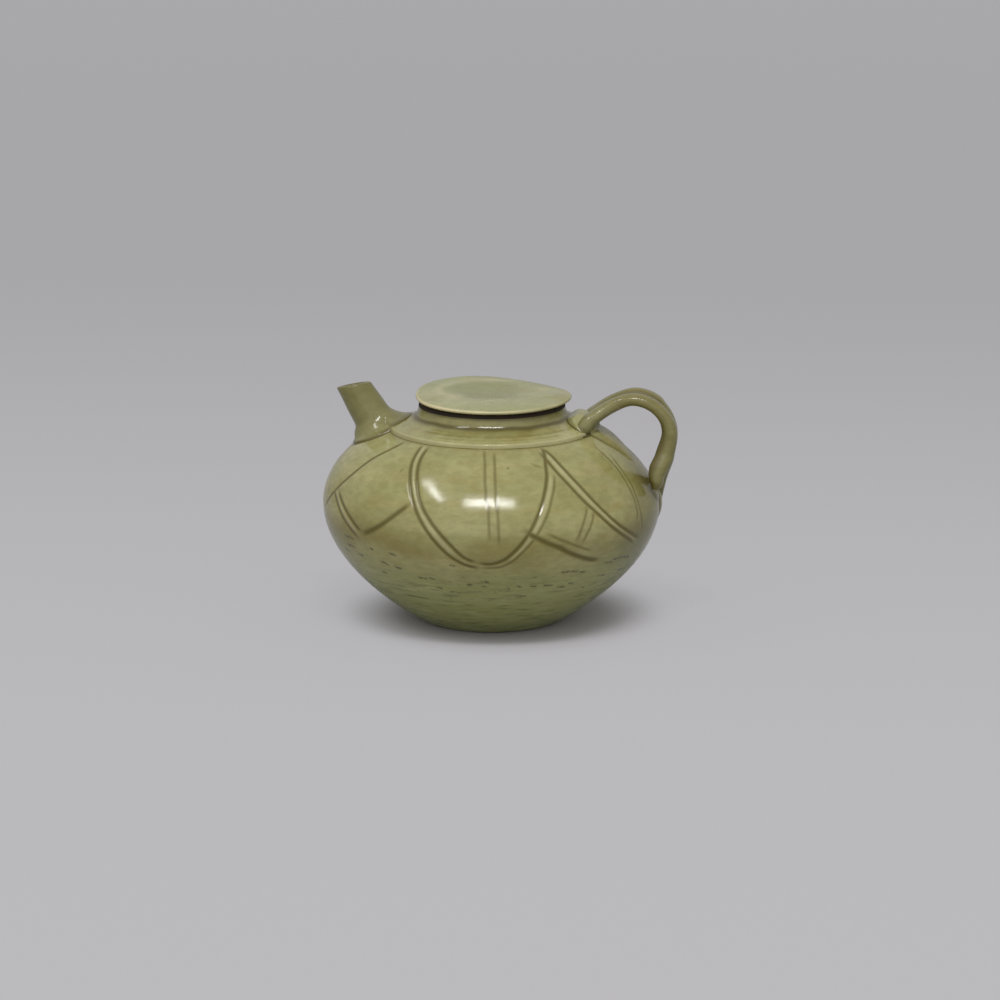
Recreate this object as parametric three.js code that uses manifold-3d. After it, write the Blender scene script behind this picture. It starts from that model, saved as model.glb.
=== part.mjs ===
// A small celadon teapot: thrown body, luted collar, leaning spout, double-strand handle, flat lid.
// Millimetres, +Z up. The origin is the centre of the flat base, the spout is at -X, the handle at +X.

import * as THREE from 'three';
import { mergeVertices } from 'three/addons/utils/BufferGeometryUtils.js';
import Module from 'manifold-3d';

const wasm = await Module();
wasm.setup();

// Body
const baseDiameter = 64;
const bellyDiameter = 150;
const bellyHeight = 52.2;
const shoulderHeight = 85.5;
const baseFlare = 14.4;
const baseSlope = 0.57;
const lowerFullness = 23;
const upperFullness = 14;
const shoulderFlatness = 6.2;
const bodyWall = 4.5;
const floorThickness = 6;
const bodyMouthDiameter = 72;
const seatSlope = 0.16;

// Shoulder collar, whose edge is the raised ledge round the shoulder
const ledgeDiameter = 90;
const ledgeStep = 1.3;
const neckDiameter = 64.8;
const ledgeBevel = 0.6;
const neckFootRise = 6.6;
const neckFootSpread = 3.4;
const neckFootDrop = 1.9;
const neckFootTop = 1.4;
const neckHeight = 5.9;
const neckWall = 4;
const rimRadius = 1.6;

// Spout
const spoutLean = 30.5;
const spoutRootOffset = 51;
const spoutLength = 23.5;
const spoutTipDiameter = 12.8;
const spoutStemDiameter = 16.6;
const spoutFlareDiameter = 32;
const spoutBoreDiameter = 8.8;
const spoutMouthRise = 11;
const skirtDrop = 2.2;
const spoutDepth = 12;
const stemStart = 7.5;

// Handle
const strandWidth = 8.4;
const strandThickness = 6;
const handleRise = 17.7;
const handleReach = 4.6;
const handleTopOffset = 63.5;
const handleRootOffset = 44;
const handleLowHeight = 60;
const upperSplay = 4;
const lowerSplay = 8;
const rootInset = 5;
const crownRun = 9.5;
const crownFall = 2.9;
const bendInset = 6.2;
const bendFall = 3.6;
const outermostFall = 14.5;
const lowerBendFall = 25.5;
const upperPadWidth = 30;
const upperPadLength = 18;
const upperPadHeight = 10;
const lowerPadWidth = 17;
const lowerPadHeight = 26;
const lowerPadThickness = 7;
const upperPadTilt = 20;
const lowerPadTilt = 4;

// Lid
const lidOverhang = 2.1;
const lidEdgeThickness = 1.4;
const lidRise = 1.3;
const lidDish = 1.2;
const lidTilt = 1.7;
const lidShift = 0.8;
const flangeWall = 3.2;
const flangeDepth = 6;
const flangeClearance = 1.2;

// Clearance between pieces that touch
const gap = 0.3;

const roundSides = 56;
const baseRadius = baseDiameter / 2;
const bellyRadius = bellyDiameter / 2;
const ledgeRadius = ledgeDiameter / 2;
const bodyMouthRadius = bodyMouthDiameter / 2;
const neckRadius = neckDiameter / 2;
const neckInnerRadius = neckRadius - neckWall;
const seatRise = (ledgeRadius - bodyMouthRadius) * seatSlope;
const ledgeHeight = shoulderHeight + gap + ledgeStep;
const neckFootHeight = ledgeHeight + neckFootRise - ledgeStep;
const rimHeight = neckFootHeight + neckHeight;

const glaze = { olive: 0x8a8656, pale: 0x979468, dark: 0x767047, sheen: 0.22 };

function vec(x, y) {
  return new THREE.Vector2(x, y);
}

function finish(color) {
  return new THREE.MeshStandardMaterial({ color, roughness: glaze.sheen, metalness: 0 });
}

// Solid from a closed three.js geometry
function solid(geometry) {
  const bare = geometry.clone();
  bare.deleteAttribute('normal');
  bare.deleteAttribute('uv');
  const merged = mergeVertices(bare, 1e-4);
  return new wasm.Manifold(new wasm.Mesh({
    numProp: 3,
    vertProperties: new Float32Array(merged.attributes.position.array),
    triVerts: new Uint32Array(merged.index.array),
  }));
}

// three.js geometry from a solid
function geometryOf(shape) {
  const mesh = shape.getMesh();
  const geometry = new THREE.BufferGeometry();
  geometry.setAttribute('position', new THREE.BufferAttribute(new Float32Array(mesh.vertProperties), 3));
  geometry.setIndex(new THREE.BufferAttribute(new Uint32Array(mesh.triVerts), 1));
  geometry.computeVertexNormals();
  return geometry;
}

function revolve(outline, sides = roundSides) {
  const geometry = new THREE.LatheGeometry(outline, sides);
  geometry.rotateX(Math.PI / 2);
  return geometry;
}

// Outline of the thrown body from the edge of its base to the ledge
function bodyOutline(steps) {
  const lower = new THREE.CubicBezierCurve(
    vec(baseRadius, 0),
    vec(baseRadius + baseFlare, baseFlare * baseSlope),
    vec(bellyRadius, bellyHeight - lowerFullness),
    vec(bellyRadius, bellyHeight),
  );
  const upper = new THREE.CubicBezierCurve(
    vec(bellyRadius, bellyHeight),
    vec(bellyRadius, bellyHeight + upperFullness),
    vec(ledgeRadius + shoulderFlatness, shoulderHeight - 0.5),
    vec(ledgeRadius, shoulderHeight),
  );
  return [...lower.getPoints(steps), ...upper.getPoints(steps).slice(1)];
}

// The same outline moved in by a wall, or out by a clearance where the distance is negative
function offsetOutline(points, distance) {
  return points.map((point, i) => {
    const before = points[Math.max(i - 1, 0)];
    const after = points[Math.min(i + 1, points.length - 1)];
    const along = after.clone().sub(before).normalize();
    return vec(point.x - along.y * distance, point.y + along.x * distance);
  });
}

function radiusAt(outline, height) {
  for (let i = 1; i < outline.length; i += 1) {
    const a = outline[i - 1];
    const b = outline[i];
    if (a.y <= height && b.y >= height) return a.x + (b.x - a.x) * (height - a.y) / (b.y - a.y);
  }
  return outline[0].x;
}

const outerOutline = bodyOutline(8);

// Pot outline from the ledge up over the plate and neck, used by the collar and by its neighbours
function collarTop() {
  const foot = new THREE.QuadraticBezierCurve(
    vec(neckRadius + neckFootSpread, neckFootHeight - neckFootDrop),
    vec(neckRadius + 0.3, neckFootHeight - 0.3),
    vec(neckRadius, neckFootHeight + neckFootTop),
  );
  const lip = new THREE.EllipseCurve(
    neckRadius - rimRadius, rimHeight - rimRadius, rimRadius, rimRadius, 0, Math.PI / 2,
  );
  return [
    vec(ledgeRadius, ledgeHeight - ledgeBevel),
    vec(ledgeRadius - ledgeBevel * 0.2, ledgeHeight - ledgeBevel * 0.4),
    vec(ledgeRadius - ledgeBevel, ledgeHeight),
    ...foot.getPoints(3),
    ...lip.getPoints(3),
  ];
}

// Everything inside the pot's outer face, moved out by the clearance: what sits on the pot is cut by it
function potEnvelope() {
  const outline = [
    vec(0, -gap),
    ...offsetOutline([...outerOutline, ...collarTop()], -gap),
    vec(0, rimHeight + gap),
  ];
  return solid(revolve(outline));
}

const envelope = potEnvelope();

// Spout frame: its local +Z runs from the shoulder out along the spout
const spoutFrame = new THREE.Object3D();
spoutFrame.rotation.set(0, THREE.MathUtils.degToRad(-spoutLean), 0);
spoutFrame.position.set(-spoutRootOffset, 0, shoulderHeightAt(spoutRootOffset));
spoutFrame.updateMatrix();

function shoulderHeightAt(radius) {
  const upper = outerOutline.filter((point) => point.y >= bellyHeight);
  for (let i = 1; i < upper.length; i += 1) {
    const a = upper[i - 1];
    const b = upper[i];
    if (a.x >= radius && b.x <= radius) return a.y + (b.y - a.y) * (a.x - radius) / (a.x - b.x);
  }
  return shoulderHeight;
}

function spoutBore() {
  const radius = spoutBoreDiameter / 2;
  const length = spoutLength + 40;
  const bore = new THREE.CylinderGeometry(radius, radius, length, 18);
  bore.rotateX(Math.PI / 2);
  bore.translate(0, 0, length / 2 - 20);
  bore.applyMatrix4(spoutFrame.matrix);
  return solid(bore);
}

function makeBody() {
  const inner = offsetOutline(outerOutline, bodyWall).filter((point) => point.y > floorThickness + 1);
  const outline = [
    vec(0, 0),
    ...outerOutline,
    vec(bodyMouthRadius, shoulderHeight + seatRise),
    vec(bodyMouthRadius - 1, shoulderHeight + seatRise - bodyWall * 0.5),
    ...inner.reverse(),
    vec(radiusAt(inner.slice().reverse(), floorThickness + 1) - 5, floorThickness),
    vec(0, floorThickness),
  ];
  return geometryOf(solid(revolve(outline)).subtract(spoutBore()));
}

function makeCollar() {
  const bottom = shoulderHeight + gap;
  const outline = [
    vec(ledgeRadius, bottom),
    ...collarTop(),
    vec(neckInnerRadius + 1, rimHeight - 0.2),
    vec(neckInnerRadius, rimHeight - 1.2),
    vec(neckInnerRadius, neckFootHeight - 0.5),
    vec(bodyMouthRadius - 1, bottom + seatRise + 1),
    vec(bodyMouthRadius, bottom + seatRise),
    vec(ledgeRadius, bottom),
  ];
  return revolve(outline);
}

function makeSpout() {
  const tip = spoutTipDiameter / 2;
  const stem = spoutStemDiameter / 2;
  const flare = spoutFlareDiameter / 2;
  const reach = spoutLength + 6;
  const side = new THREE.SplineCurve([
    vec(flare, -skirtDrop),
    vec(flare * 0.84, -skirtDrop * 0.5),
    vec(stem * 1.3, skirtDrop * 0.5),
    vec(stem * 1.08, stemStart * 0.5),
    vec(stem, stemStart),
    vec((stem + tip) / 2 + 0.2, spoutLength * 0.58),
    vec(tip, spoutLength),
    vec(tip - 0.3, reach),
  ]);
  const outline = [
    vec(0, -spoutDepth),
    vec(flare, -spoutDepth),
    ...side.getPoints(12),
    vec(0, reach),
  ];
  const outside = revolve(outline, 26);
  outside.applyMatrix4(spoutFrame.matrix);
  const mouthPlane = new THREE.BoxGeometry(60, 60, 30);
  mouthPlane.translate(0, 0, 15);
  mouthPlane.rotateY(THREE.MathUtils.degToRad(-spoutMouthRise));
  const mouth = new THREE.Vector3(0, 0, spoutLength).applyMatrix4(spoutFrame.matrix);
  mouthPlane.translate(mouth.x, mouth.y, mouth.z);
  return geometryOf(solid(outside)
    .subtract(spoutBore())
    .subtract(envelope)
    .subtract(solid(mouthPlane)));
}

// Middle of one strand, from under the plate's edge over the top and down to the belly.
// The strands lie side by side, and splay apart towards both roots.
function strandRoute(side) {
  const top = ledgeHeight + handleRise - strandThickness / 2;
  const outermost = bellyRadius + handleReach;
  const lowerRoot = radiusAt(outerOutline, handleLowHeight);
  const rootHeight = ledgeHeight + 1;
  const apart = (strandWidth + gap) / 2;
  const point = (x, splay, z) => new THREE.Vector3(x, side * (apart + splay), z);
  return new THREE.CatmullRomCurve3([
    point(handleRootOffset - rootInset, upperSplay, rootHeight - 1.5),
    point(handleRootOffset + 1.5, upperSplay * 0.6, rootHeight + rootInset),
    point(handleTopOffset - crownRun, 0, top - crownFall),
    point(handleTopOffset, 0, top),
    point(outermost - bendInset, 0, top - bendFall),
    point(outermost, 0, top - outermostFall),
    point(outermost - 1.7, lowerSplay * 0.15, top - lowerBendFall),
    point(lowerRoot + strandThickness * 0.15, lowerSplay * 0.6, handleLowHeight + 9.5),
    point(lowerRoot - 2, lowerSplay, handleLowHeight + 0.5),
  ], false, 'centripetal');
}

function strandSolid(side, extra) {
  const section = new THREE.Shape();
  section.absellipse(0, 0, strandWidth / 2 + extra, strandThickness / 2 + extra, 0, Math.PI * 2, false, 0);
  return solid(new THREE.ExtrudeGeometry(section, {
    curveSegments: 6,
    steps: 24,
    bevelEnabled: false,
    extrudePath: strandRoute(side),
  }));
}

// The strands' facing sides are pressed flat, so each keeps to its own side of the handle's middle
function makeStrand(side) {
  const otherSide = new THREE.BoxGeometry(200, 40, 200);
  otherSide.translate(0, -side * (20 - gap / 2), ledgeHeight);
  return geometryOf(strandSolid(side, 0).subtract(envelope).subtract(solid(otherSide)));
}

function wad(width, length, height) {
  const lump = new THREE.SphereGeometry(0.5, 16, 10);
  lump.rotateX(Math.PI / 2);
  lump.scale(length, width, height);
  return lump;
}

// The wad less the pot and the strands, without the crumbs that the cut leaves
function cutByHandle(lump) {
  const shape = solid(lump)
    .subtract(envelope)
    .subtract(strandSolid(1, gap))
    .subtract(strandSolid(-1, gap));
  const bodies = shape.decompose().sort((a, b) => b.volume() - a.volume());
  return geometryOf(bodies[0]);
}

function makeUpperPad() {
  const lump = wad(upperPadWidth, upperPadLength, upperPadHeight);
  lump.rotateY(THREE.MathUtils.degToRad(-upperPadTilt));
  lump.translate(handleRootOffset - 0.5, 0, ledgeHeight + 1.6);
  return cutByHandle(lump);
}

function makeLowerPad() {
  const lump = wad(lowerPadWidth, lowerPadThickness, lowerPadHeight);
  lump.rotateY(THREE.MathUtils.degToRad(lowerPadTilt));
  lump.translate(radiusAt(outerOutline, handleLowHeight), 0, handleLowHeight - 0.5);
  return cutByHandle(lump);
}

// Lid frame: local zero is the underside's centre, tilted about the front of the neck's rim.
// The loose lid lies a little towards the handle.
const lidRadius = neckRadius + lidOverhang;

function makeLidDisc() {
  const edge = new THREE.EllipseCurve(
    lidRadius - lidEdgeThickness / 2, 0.3 + lidEdgeThickness / 2,
    lidEdgeThickness / 2, lidEdgeThickness / 2, -Math.PI / 2, Math.PI / 2,
  );
  const top = new THREE.SplineCurve([
    vec(lidRadius - 1.6, lidEdgeThickness + 0.4),
    vec(lidRadius * 0.75, lidEdgeThickness + lidRise),
    vec(lidRadius * 0.5, lidEdgeThickness + lidRise + 0.2),
    vec(lidRadius * 0.25, lidEdgeThickness + lidRise - lidDish * 0.7),
    vec(0, lidEdgeThickness + lidRise - lidDish),
  ]);
  return revolve([
    vec(0, 0),
    vec(neckRadius, 0),
    ...edge.getPoints(3),
    ...top.getPoints(6),
  ]);
}

function makeLidFlange() {
  const outer = neckInnerRadius - flangeClearance;
  const inner = outer - flangeWall;
  return revolve([
    vec(inner, -gap),
    vec(inner, -flangeDepth + 0.8),
    vec(inner + 0.8, -flangeDepth),
    vec(outer - 1.2, -flangeDepth),
    vec(outer - 0.3, -flangeDepth + 1),
    vec(outer, -gap),
    vec(inner, -gap),
  ]);
}

function piece(name, geometry, color) {
  const mesh = new THREE.Mesh(geometry, finish(color));
  mesh.name = name;
  return mesh;
}

const pot = new THREE.Group();
pot.add(
  piece('body', makeBody(), glaze.olive),
  piece('shoulder_collar', makeCollar(), glaze.pale),
  piece('spout', makeSpout(), glaze.dark),
  piece('handle_front_strand', makeStrand(-1), glaze.dark),
  piece('handle_back_strand', makeStrand(1), glaze.dark),
  piece('handle_upper_pad', makeUpperPad(), glaze.olive),
  piece('handle_lower_pad', makeLowerPad(), glaze.olive),
);

const lid = new THREE.Group();
lid.position.set(lidShift, -neckRadius, rimHeight + gap);
lid.rotation.x = THREE.MathUtils.degToRad(lidTilt);
const lidCentre = new THREE.Group();
lidCentre.position.y = neckRadius;
lidCentre.add(
  piece('lid_disc', makeLidDisc(), glaze.pale),
  piece('lid_flange', makeLidFlange(), glaze.pale),
);
lid.add(lidCentre);

const group = new THREE.Group();
group.add(pot, lid);

export default group;
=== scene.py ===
"""Looks of a small celadon-glazed stoneware teapot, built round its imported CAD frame.

The pot stands at the origin with its spout at -X and its handle at +X. Bearings are degrees
round the pot: 0 is the front (-Y), and they grow towards the handle (+X). Shapes are worked
out in millimetres and scaled to metres when a piece is finished.
"""

import logging
import math
from collections.abc import Callable, Iterable, Mapping, Sequence
from dataclasses import dataclass
from enum import Enum

import bmesh
import bpy
import numpy as np
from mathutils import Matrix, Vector, kdtree, noise


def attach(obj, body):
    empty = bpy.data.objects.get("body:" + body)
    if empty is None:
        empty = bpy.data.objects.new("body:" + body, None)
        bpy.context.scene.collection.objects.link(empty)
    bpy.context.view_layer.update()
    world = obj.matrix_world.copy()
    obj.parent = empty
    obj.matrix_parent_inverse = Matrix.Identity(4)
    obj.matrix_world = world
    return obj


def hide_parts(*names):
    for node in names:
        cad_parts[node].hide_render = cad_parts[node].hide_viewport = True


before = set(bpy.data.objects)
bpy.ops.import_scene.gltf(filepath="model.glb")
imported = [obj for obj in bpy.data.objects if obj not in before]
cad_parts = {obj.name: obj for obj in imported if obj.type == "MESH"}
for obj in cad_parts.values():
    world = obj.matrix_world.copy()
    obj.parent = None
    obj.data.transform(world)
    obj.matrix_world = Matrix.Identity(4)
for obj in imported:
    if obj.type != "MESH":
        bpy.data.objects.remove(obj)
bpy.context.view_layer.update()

logging.basicConfig(level=logging.INFO, format="%(message)s")
LOG = logging.getLogger("teapot")

MM = 0.001
# Vertices closer than this, in millimetres, are merged
SEAM = 1e-4

Array = np.ndarray
Outline = Sequence[tuple[float, float]]


class Body(Enum):
    """The two bodies of the teapot's joint."""

    POT = "pot"
    LID = "lid"


class Slot(Enum):
    """The record's material slots."""

    BODY = "celadon_body"
    SPOUT_AND_HANDLE = "celadon_spout_and_handle"
    LID = "celadon_lid"
    BARE = "bare_stoneware"


# Curves and numbers


def smooth_step(low: float, high: float, value: Array | float) -> Array:
    """Smooth 0 to 1 rise of value between low and high.

    Args:
        low: Where the rise starts.
        high: Where it ends.
        value: Numbers to map.

    Returns:
        The risen values, from 0 to 1.
    """
    t = np.clip((np.asarray(value, float) - low) / (high - low), 0.0, 1.0)
    return t * t * (3.0 - 2.0 * t)


def bezier(corners: Outline, count: int) -> Array:
    """Points of one cubic Bezier curve.

    Args:
        corners: Its four control points.
        count: Number of points, ends included.

    Returns:
        An array of count points.
    """
    a, b, c, d = (np.array(corner, float) for corner in corners)
    t = np.linspace(0.0, 1.0, count)[:, None]
    return (1 - t) ** 3 * a + 3 * (1 - t) ** 2 * t * b + 3 * (1 - t) * t * t * c + t ** 3 * d


def through(points: Sequence[Sequence[float]], step: float) -> Array:
    """A smooth centripetal Catmull-Rom curve through points, in any number of dimensions.

    Args:
        points: The points it passes through.
        step: Rough distance between the points returned.

    Returns:
        An array of points along the curve.
    """
    p = np.array(points, float)
    p = np.vstack([2 * p[0] - p[1], p, 2 * p[-1] - p[-2]])
    pieces = []
    for i in range(1, len(p) - 2):
        knots = [0.0]
        for a, b in ((i - 1, i), (i, i + 1), (i + 1, i + 2)):
            knots.append(knots[-1] + math.sqrt(max(float(np.linalg.norm(p[b] - p[a])), 1e-6)))
        count = max(2, math.ceil(float(np.linalg.norm(p[i + 1] - p[i])) / step))
        t = np.linspace(knots[1], knots[2], count, endpoint=False)[:, None]

        def blend(a: Array, b: Array, low: int, high: int) -> Array:
            """Line from a to b over a stretch of the knots."""
            return (knots[high] - t) / (knots[high] - knots[low]) * a \
                + (t - knots[low]) / (knots[high] - knots[low]) * b

        first = blend(p[i - 1], p[i], 0, 1)
        second = blend(p[i], p[i + 1], 1, 2)
        third = blend(p[i + 1], p[i + 2], 2, 3)
        pieces.append(blend(blend(first, second, 0, 2), blend(second, third, 1, 3), 1, 2))
    pieces.append(p[-2][None, :])
    return np.vstack(pieces)


def lengths_along(points: Array) -> Array:
    """Distance from the first point to each point of a polyline."""
    steps = np.linalg.norm(np.diff(points, axis=0), axis=1)
    return np.concatenate([[0.0], np.cumsum(steps)])


def sampled(points: Array, at: Array) -> Array:
    """Points of a polyline at fractions of its length.

    Args:
        points: The polyline.
        at: Fractions from 0 to 1.

    Returns:
        One point for each fraction.
    """
    along = lengths_along(points)
    return np.stack([np.interp(at * along[-1], along, column) for column in points.T], axis=-1)


def hump(value: Array, middle: float, width: float) -> Array:
    """Bell curve of value, which is 1 at its middle."""
    return np.exp(-((value - middle) / width) ** 2)


def radius_of(points: Array) -> Array:
    """Distance of points from the pot's axis."""
    return np.hypot(points[:, 0], points[:, 1])


def turn_of(points: Array) -> Array:
    """Angle of points round the pot from +X, in radians."""
    return np.arctan2(points[:, 1], points[:, 0])


def bearing_of(points: Array) -> Array:
    """Bearing of points, in degrees from the front towards the handle."""
    return np.degrees(np.arctan2(points[:, 0], -points[:, 1]))


def outward(points: Array) -> Array:
    """Unit normals on the outer side of an outline that runs up a pot.

    Args:
        points: Outline of radius and height.

    Returns:
        One normal for each point.
    """
    tangent = np.gradient(points, axis=0)
    tangent /= np.maximum(np.linalg.norm(tangent, axis=1, keepdims=True), 1e-9)
    return np.stack([tangent[:, 1], -tangent[:, 0]], axis=1)


def ripple(points: Array, size: float, seed: float) -> Array:
    """Smooth noise at points, about -1 to 1.

    Args:
        points: Positions in millimetres.
        size: Rough width of a ripple in millimetres.
        seed: Shifts the pattern.

    Returns:
        One value for each point.
    """
    shift = Vector((seed, seed * 1.7, seed * 0.3))
    return np.array([noise.noise(Vector(point) / size + shift) for point in points])


def tree_of(rows: Array) -> kdtree.KDTree:
    """A search tree of rows that start with a point's coordinates."""
    tree = kdtree.KDTree(len(rows))
    for i, row in enumerate(rows):
        tree.insert(Vector(row[:3]), i)
    tree.balance()
    return tree


# Meshes


def places(bm: bmesh.types.BMesh) -> Array:
    """Positions of a mesh's vertices."""
    return np.array([vertex.co for vertex in bm.verts], float)


def put(bm: bmesh.types.BMesh, points: Array) -> None:
    """Moves a mesh's vertices to the points given."""
    for vertex, point in zip(bm.verts, points):
        vertex.co = point


def close_up(bm: bmesh.types.BMesh) -> None:
    """Merges a mesh's seams and poles and turns its faces outwards."""
    bmesh.ops.remove_doubles(bm, verts=bm.verts, dist=SEAM)
    bmesh.ops.recalc_face_normals(bm, faces=bm.faces)


def thrown(outline: Array, steps: int) -> bmesh.types.BMesh:
    """A shape turned on the wheel.

    Args:
        outline: Radius and height of its half section, from the axis or as a closed ring.
        steps: Number of steps round.

    Returns:
        The closed mesh.
    """
    bm = bmesh.new()
    ring = [bm.verts.new((radius, 0.0, height)) for radius, height in outline]
    edges = [bm.edges.new(pair) for pair in zip(ring, ring[1:])]
    bmesh.ops.spin(
        bm, geom=ring + edges, cent=(0, 0, 0), axis=(0, 0, 1), dvec=(0, 0, 0),
        angle=math.tau, steps=steps, use_merge=True, use_normal_flip=False, use_duplicate=False,
    )
    close_up(bm)
    return bm


def wrapped(columns: int, rows: int, place: Callable[[Array, Array], Array]) -> bmesh.types.BMesh:
    """A grid wrapped into a closed form.

    Args:
        columns: Steps round the form.
        rows: Steps along it.
        place: Gives points for fractions round and along.

    Returns:
        The closed mesh.
    """
    bm = bmesh.new()
    bmesh.ops.create_grid(bm, x_segments=columns, y_segments=rows, size=0.5)
    flat = places(bm) + 0.5
    put(bm, place(flat[:, 0], flat[:, 1]))
    close_up(bm)
    return bm


def store(bm: bmesh.types.BMesh, **layers: Iterable[float]) -> None:
    """Stores values per vertex, such as how deep the glaze has pooled.

    Args:
        bm: The mesh.
        layers: For each attribute's name, one value for each vertex.
    """
    for name, values in layers.items():
        layer = bm.verts.layers.float.new(name)
        for vertex, value in zip(bm.verts, values):
            vertex[layer] = float(value)


def finish_piece(
    bm: bmesh.types.BMesh, name: str, material: bpy.types.Material,
    body: Body, nodes: Sequence[str],
) -> bpy.types.Object:
    """Turns a mesh in millimetres into a finished piece that stands for CAD nodes.

    Args:
        bm: The mesh, which is freed.
        name: Name of the piece.
        material: Its glaze.
        body: The body that it moves with.
        nodes: The CAD nodes that it stands for.

    Returns:
        The object.
    """
    bmesh.ops.scale(bm, vec=(MM, MM, MM), verts=bm.verts)
    for face in bm.faces:
        face.smooth = True
    mesh = bpy.data.meshes.new(name)
    bm.to_mesh(mesh)
    bm.free()
    mesh.materials.append(material)
    piece = bpy.data.objects.new(name, mesh)
    bpy.context.scene.collection.objects.link(piece)
    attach(piece, body.value)
    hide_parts(*nodes)
    triangles = sum(len(polygon.vertices) - 2 for polygon in mesh.polygons)
    LOG.info("%s: %d triangles, %s", name, triangles, material.name)
    return piece


# Finishes


def linear(code: str) -> tuple[float, float, float, float]:
    """Linear colour of an sRGB hex code such as #9e9b70."""
    parts = [int(code[i:i + 2], 16) / 255 for i in (1, 3, 5)]
    turned = [c / 12.92 if c <= 0.04045 else ((c + 0.055) / 1.055) ** 2.4 for c in parts]
    return turned[0], turned[1], turned[2], 1.0


def node(
    tree: bpy.types.NodeTree, kind: str, inputs: Mapping[str | int, object] | None = None,
    **settings: object,
) -> bpy.types.Node:
    """Adds a node with its settings, values and links.

    Args:
        tree: The node tree.
        kind: The node's type.
        inputs: A value, or a socket to link, for each named or numbered input.
        settings: Attributes of the node.

    Returns:
        The node.
    """
    made = tree.nodes.new(kind)
    for name, value in settings.items():
        setattr(made, name, value)
    for socket, value in (inputs or {}).items():
        if isinstance(value, bpy.types.NodeSocket):
            tree.links.new(value, made.inputs[socket])
        else:
            made.inputs[socket].default_value = value
    return made


@dataclass(frozen=True)
class Rise:
    """How a mask changes smoothly over a stretch of a measure, such as a height or a cloud."""

    low: float
    high: float
    first: float = 0.0
    last: float = 1.0


class Painter:
    """A material's nodes, with the few steps that the finishes share."""

    MIX_FACTOR, MIX_A, MIX_B, MIX_OUT = 0, 6, 7, 2

    def __init__(self, name: str) -> None:
        """Starts an empty material of that name."""
        self.material = bpy.data.materials.new(name)
        self.material.use_nodes = True
        self.tree = self.material.node_tree
        self.tree.nodes.clear()
        self.where = self.add("ShaderNodeTexCoord").outputs["Object"]
        apart = self.add("ShaderNodeSeparateXYZ", {0: self.where})
        self.across, self.behind, self.height = (apart.outputs[axis] for axis in "XYZ")

    def add(self, kind: str, inputs: Mapping[str | int, object] | None = None,
            **settings: object) -> bpy.types.Node:
        """Adds a node to this material's tree."""
        return node(self.tree, kind, inputs, **settings)

    def mask(self, *parts: object) -> object:
        """Multiplies masks.

        Args:
            parts: Masks and shares, or pairs of a measure and the rise that makes it a mask.

        Returns:
            The product's socket.
        """
        product = None
        for part in parts:
            if isinstance(part, tuple):
                measure, rise = part
                part = self.add("ShaderNodeMapRange", {
                    "Value": measure, "From Min": rise.low, "From Max": rise.high,
                    "To Min": rise.first, "To Max": rise.last},
                    interpolation_type="SMOOTHSTEP").outputs["Result"]
            product = part if product is None else self.add(
                "ShaderNodeMath", {0: product, 1: part}, operation="MULTIPLY").outputs[0]
        return product

    def lay(self, base: object, *layers: tuple) -> object:
        """Lays colours over one another.

        Args:
            base: The lowest colour, as a hex code or a socket.
            layers: For each layer its colour and the parts of its mask, lowest first.

        Returns:
            The colour's socket.
        """
        for colour, *parts in layers:
            below, above = (linear(each) if isinstance(each, str) else each
                            for each in (base, colour))
            base = self.add("ShaderNodeMix", {
                self.MIX_FACTOR: self.mask(*parts), self.MIX_A: below, self.MIX_B: above},
                data_type="RGBA").outputs[self.MIX_OUT]
        return base

    def cloud(self, width: float, flatness: float = 1.0, detail: float = 3.0,
              roughness: float = 0.5, shift: float = 0.0) -> object:
        """Cloudy noise of a real width.

        Args:
            width: Rough width of a cloud in millimetres.
            flatness: How many times wider than tall it is.
            detail: Octaves.
            roughness: Weight of the finer octaves.
            shift: Moves the pattern, in metres.

        Returns:
            The noise's socket, about 0.5 on average.
        """
        stretched = self.add("ShaderNodeMapping", {
            "Vector": self.where, "Location": (shift, shift * 0.7, shift * 1.3),
            "Scale": (1.0, 1.0, flatness)})
        made = self.add("ShaderNodeTexNoise", {
            "Vector": stretched.outputs[0], "Scale": 1.0 / (width * MM),
            "Detail": detail, "Roughness": roughness})
        return made.outputs["Fac"]

    def spots(self, spacing: float, size: float, share: float, flatness: float = 1.0) -> object:
        """Scattered round spots.

        Args:
            spacing: Rough distance between candidates in millimetres.
            size: Radius of a spot in millimetres.
            share: Share of the candidates that are left out.
            flatness: How many times wider than tall a spot is.

        Returns:
            A mask socket.
        """
        stretched = self.add("ShaderNodeMapping", {
            "Vector": self.where, "Scale": (1.0, 1.0, flatness)})
        cells = self.add("ShaderNodeTexVoronoi", {
            "Vector": stretched.outputs[0], "Scale": 1.0 / (spacing * MM), "Randomness": 1.0})
        reach = size / spacing
        chance = self.add("ShaderNodeSeparateColor", {0: cells.outputs["Color"]}).outputs[0]
        kept = self.add("ShaderNodeMath", {0: chance, 1: share}, operation="GREATER_THAN")
        return self.mask((cells.outputs["Distance"], Rise(reach * 0.45, reach, 1.0, 0.0)),
                         kept.outputs[0])

    def surface(self, colour: object, roughness: object, normal: object,
                ior: float) -> bpy.types.Material:
        """Ends the material with its shader.

        Args:
            colour: Base colour socket.
            roughness: Roughness value or socket.
            normal: Normal socket.
            ior: Index of refraction.

        Returns:
            The material.
        """
        shader = self.add("ShaderNodeBsdfPrincipled", {
            "Base Color": colour, "Roughness": roughness, "Normal": normal, "IOR": ior})
        self.add("ShaderNodeOutputMaterial", {"Surface": shader.outputs[0]})
        return self.material


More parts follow.
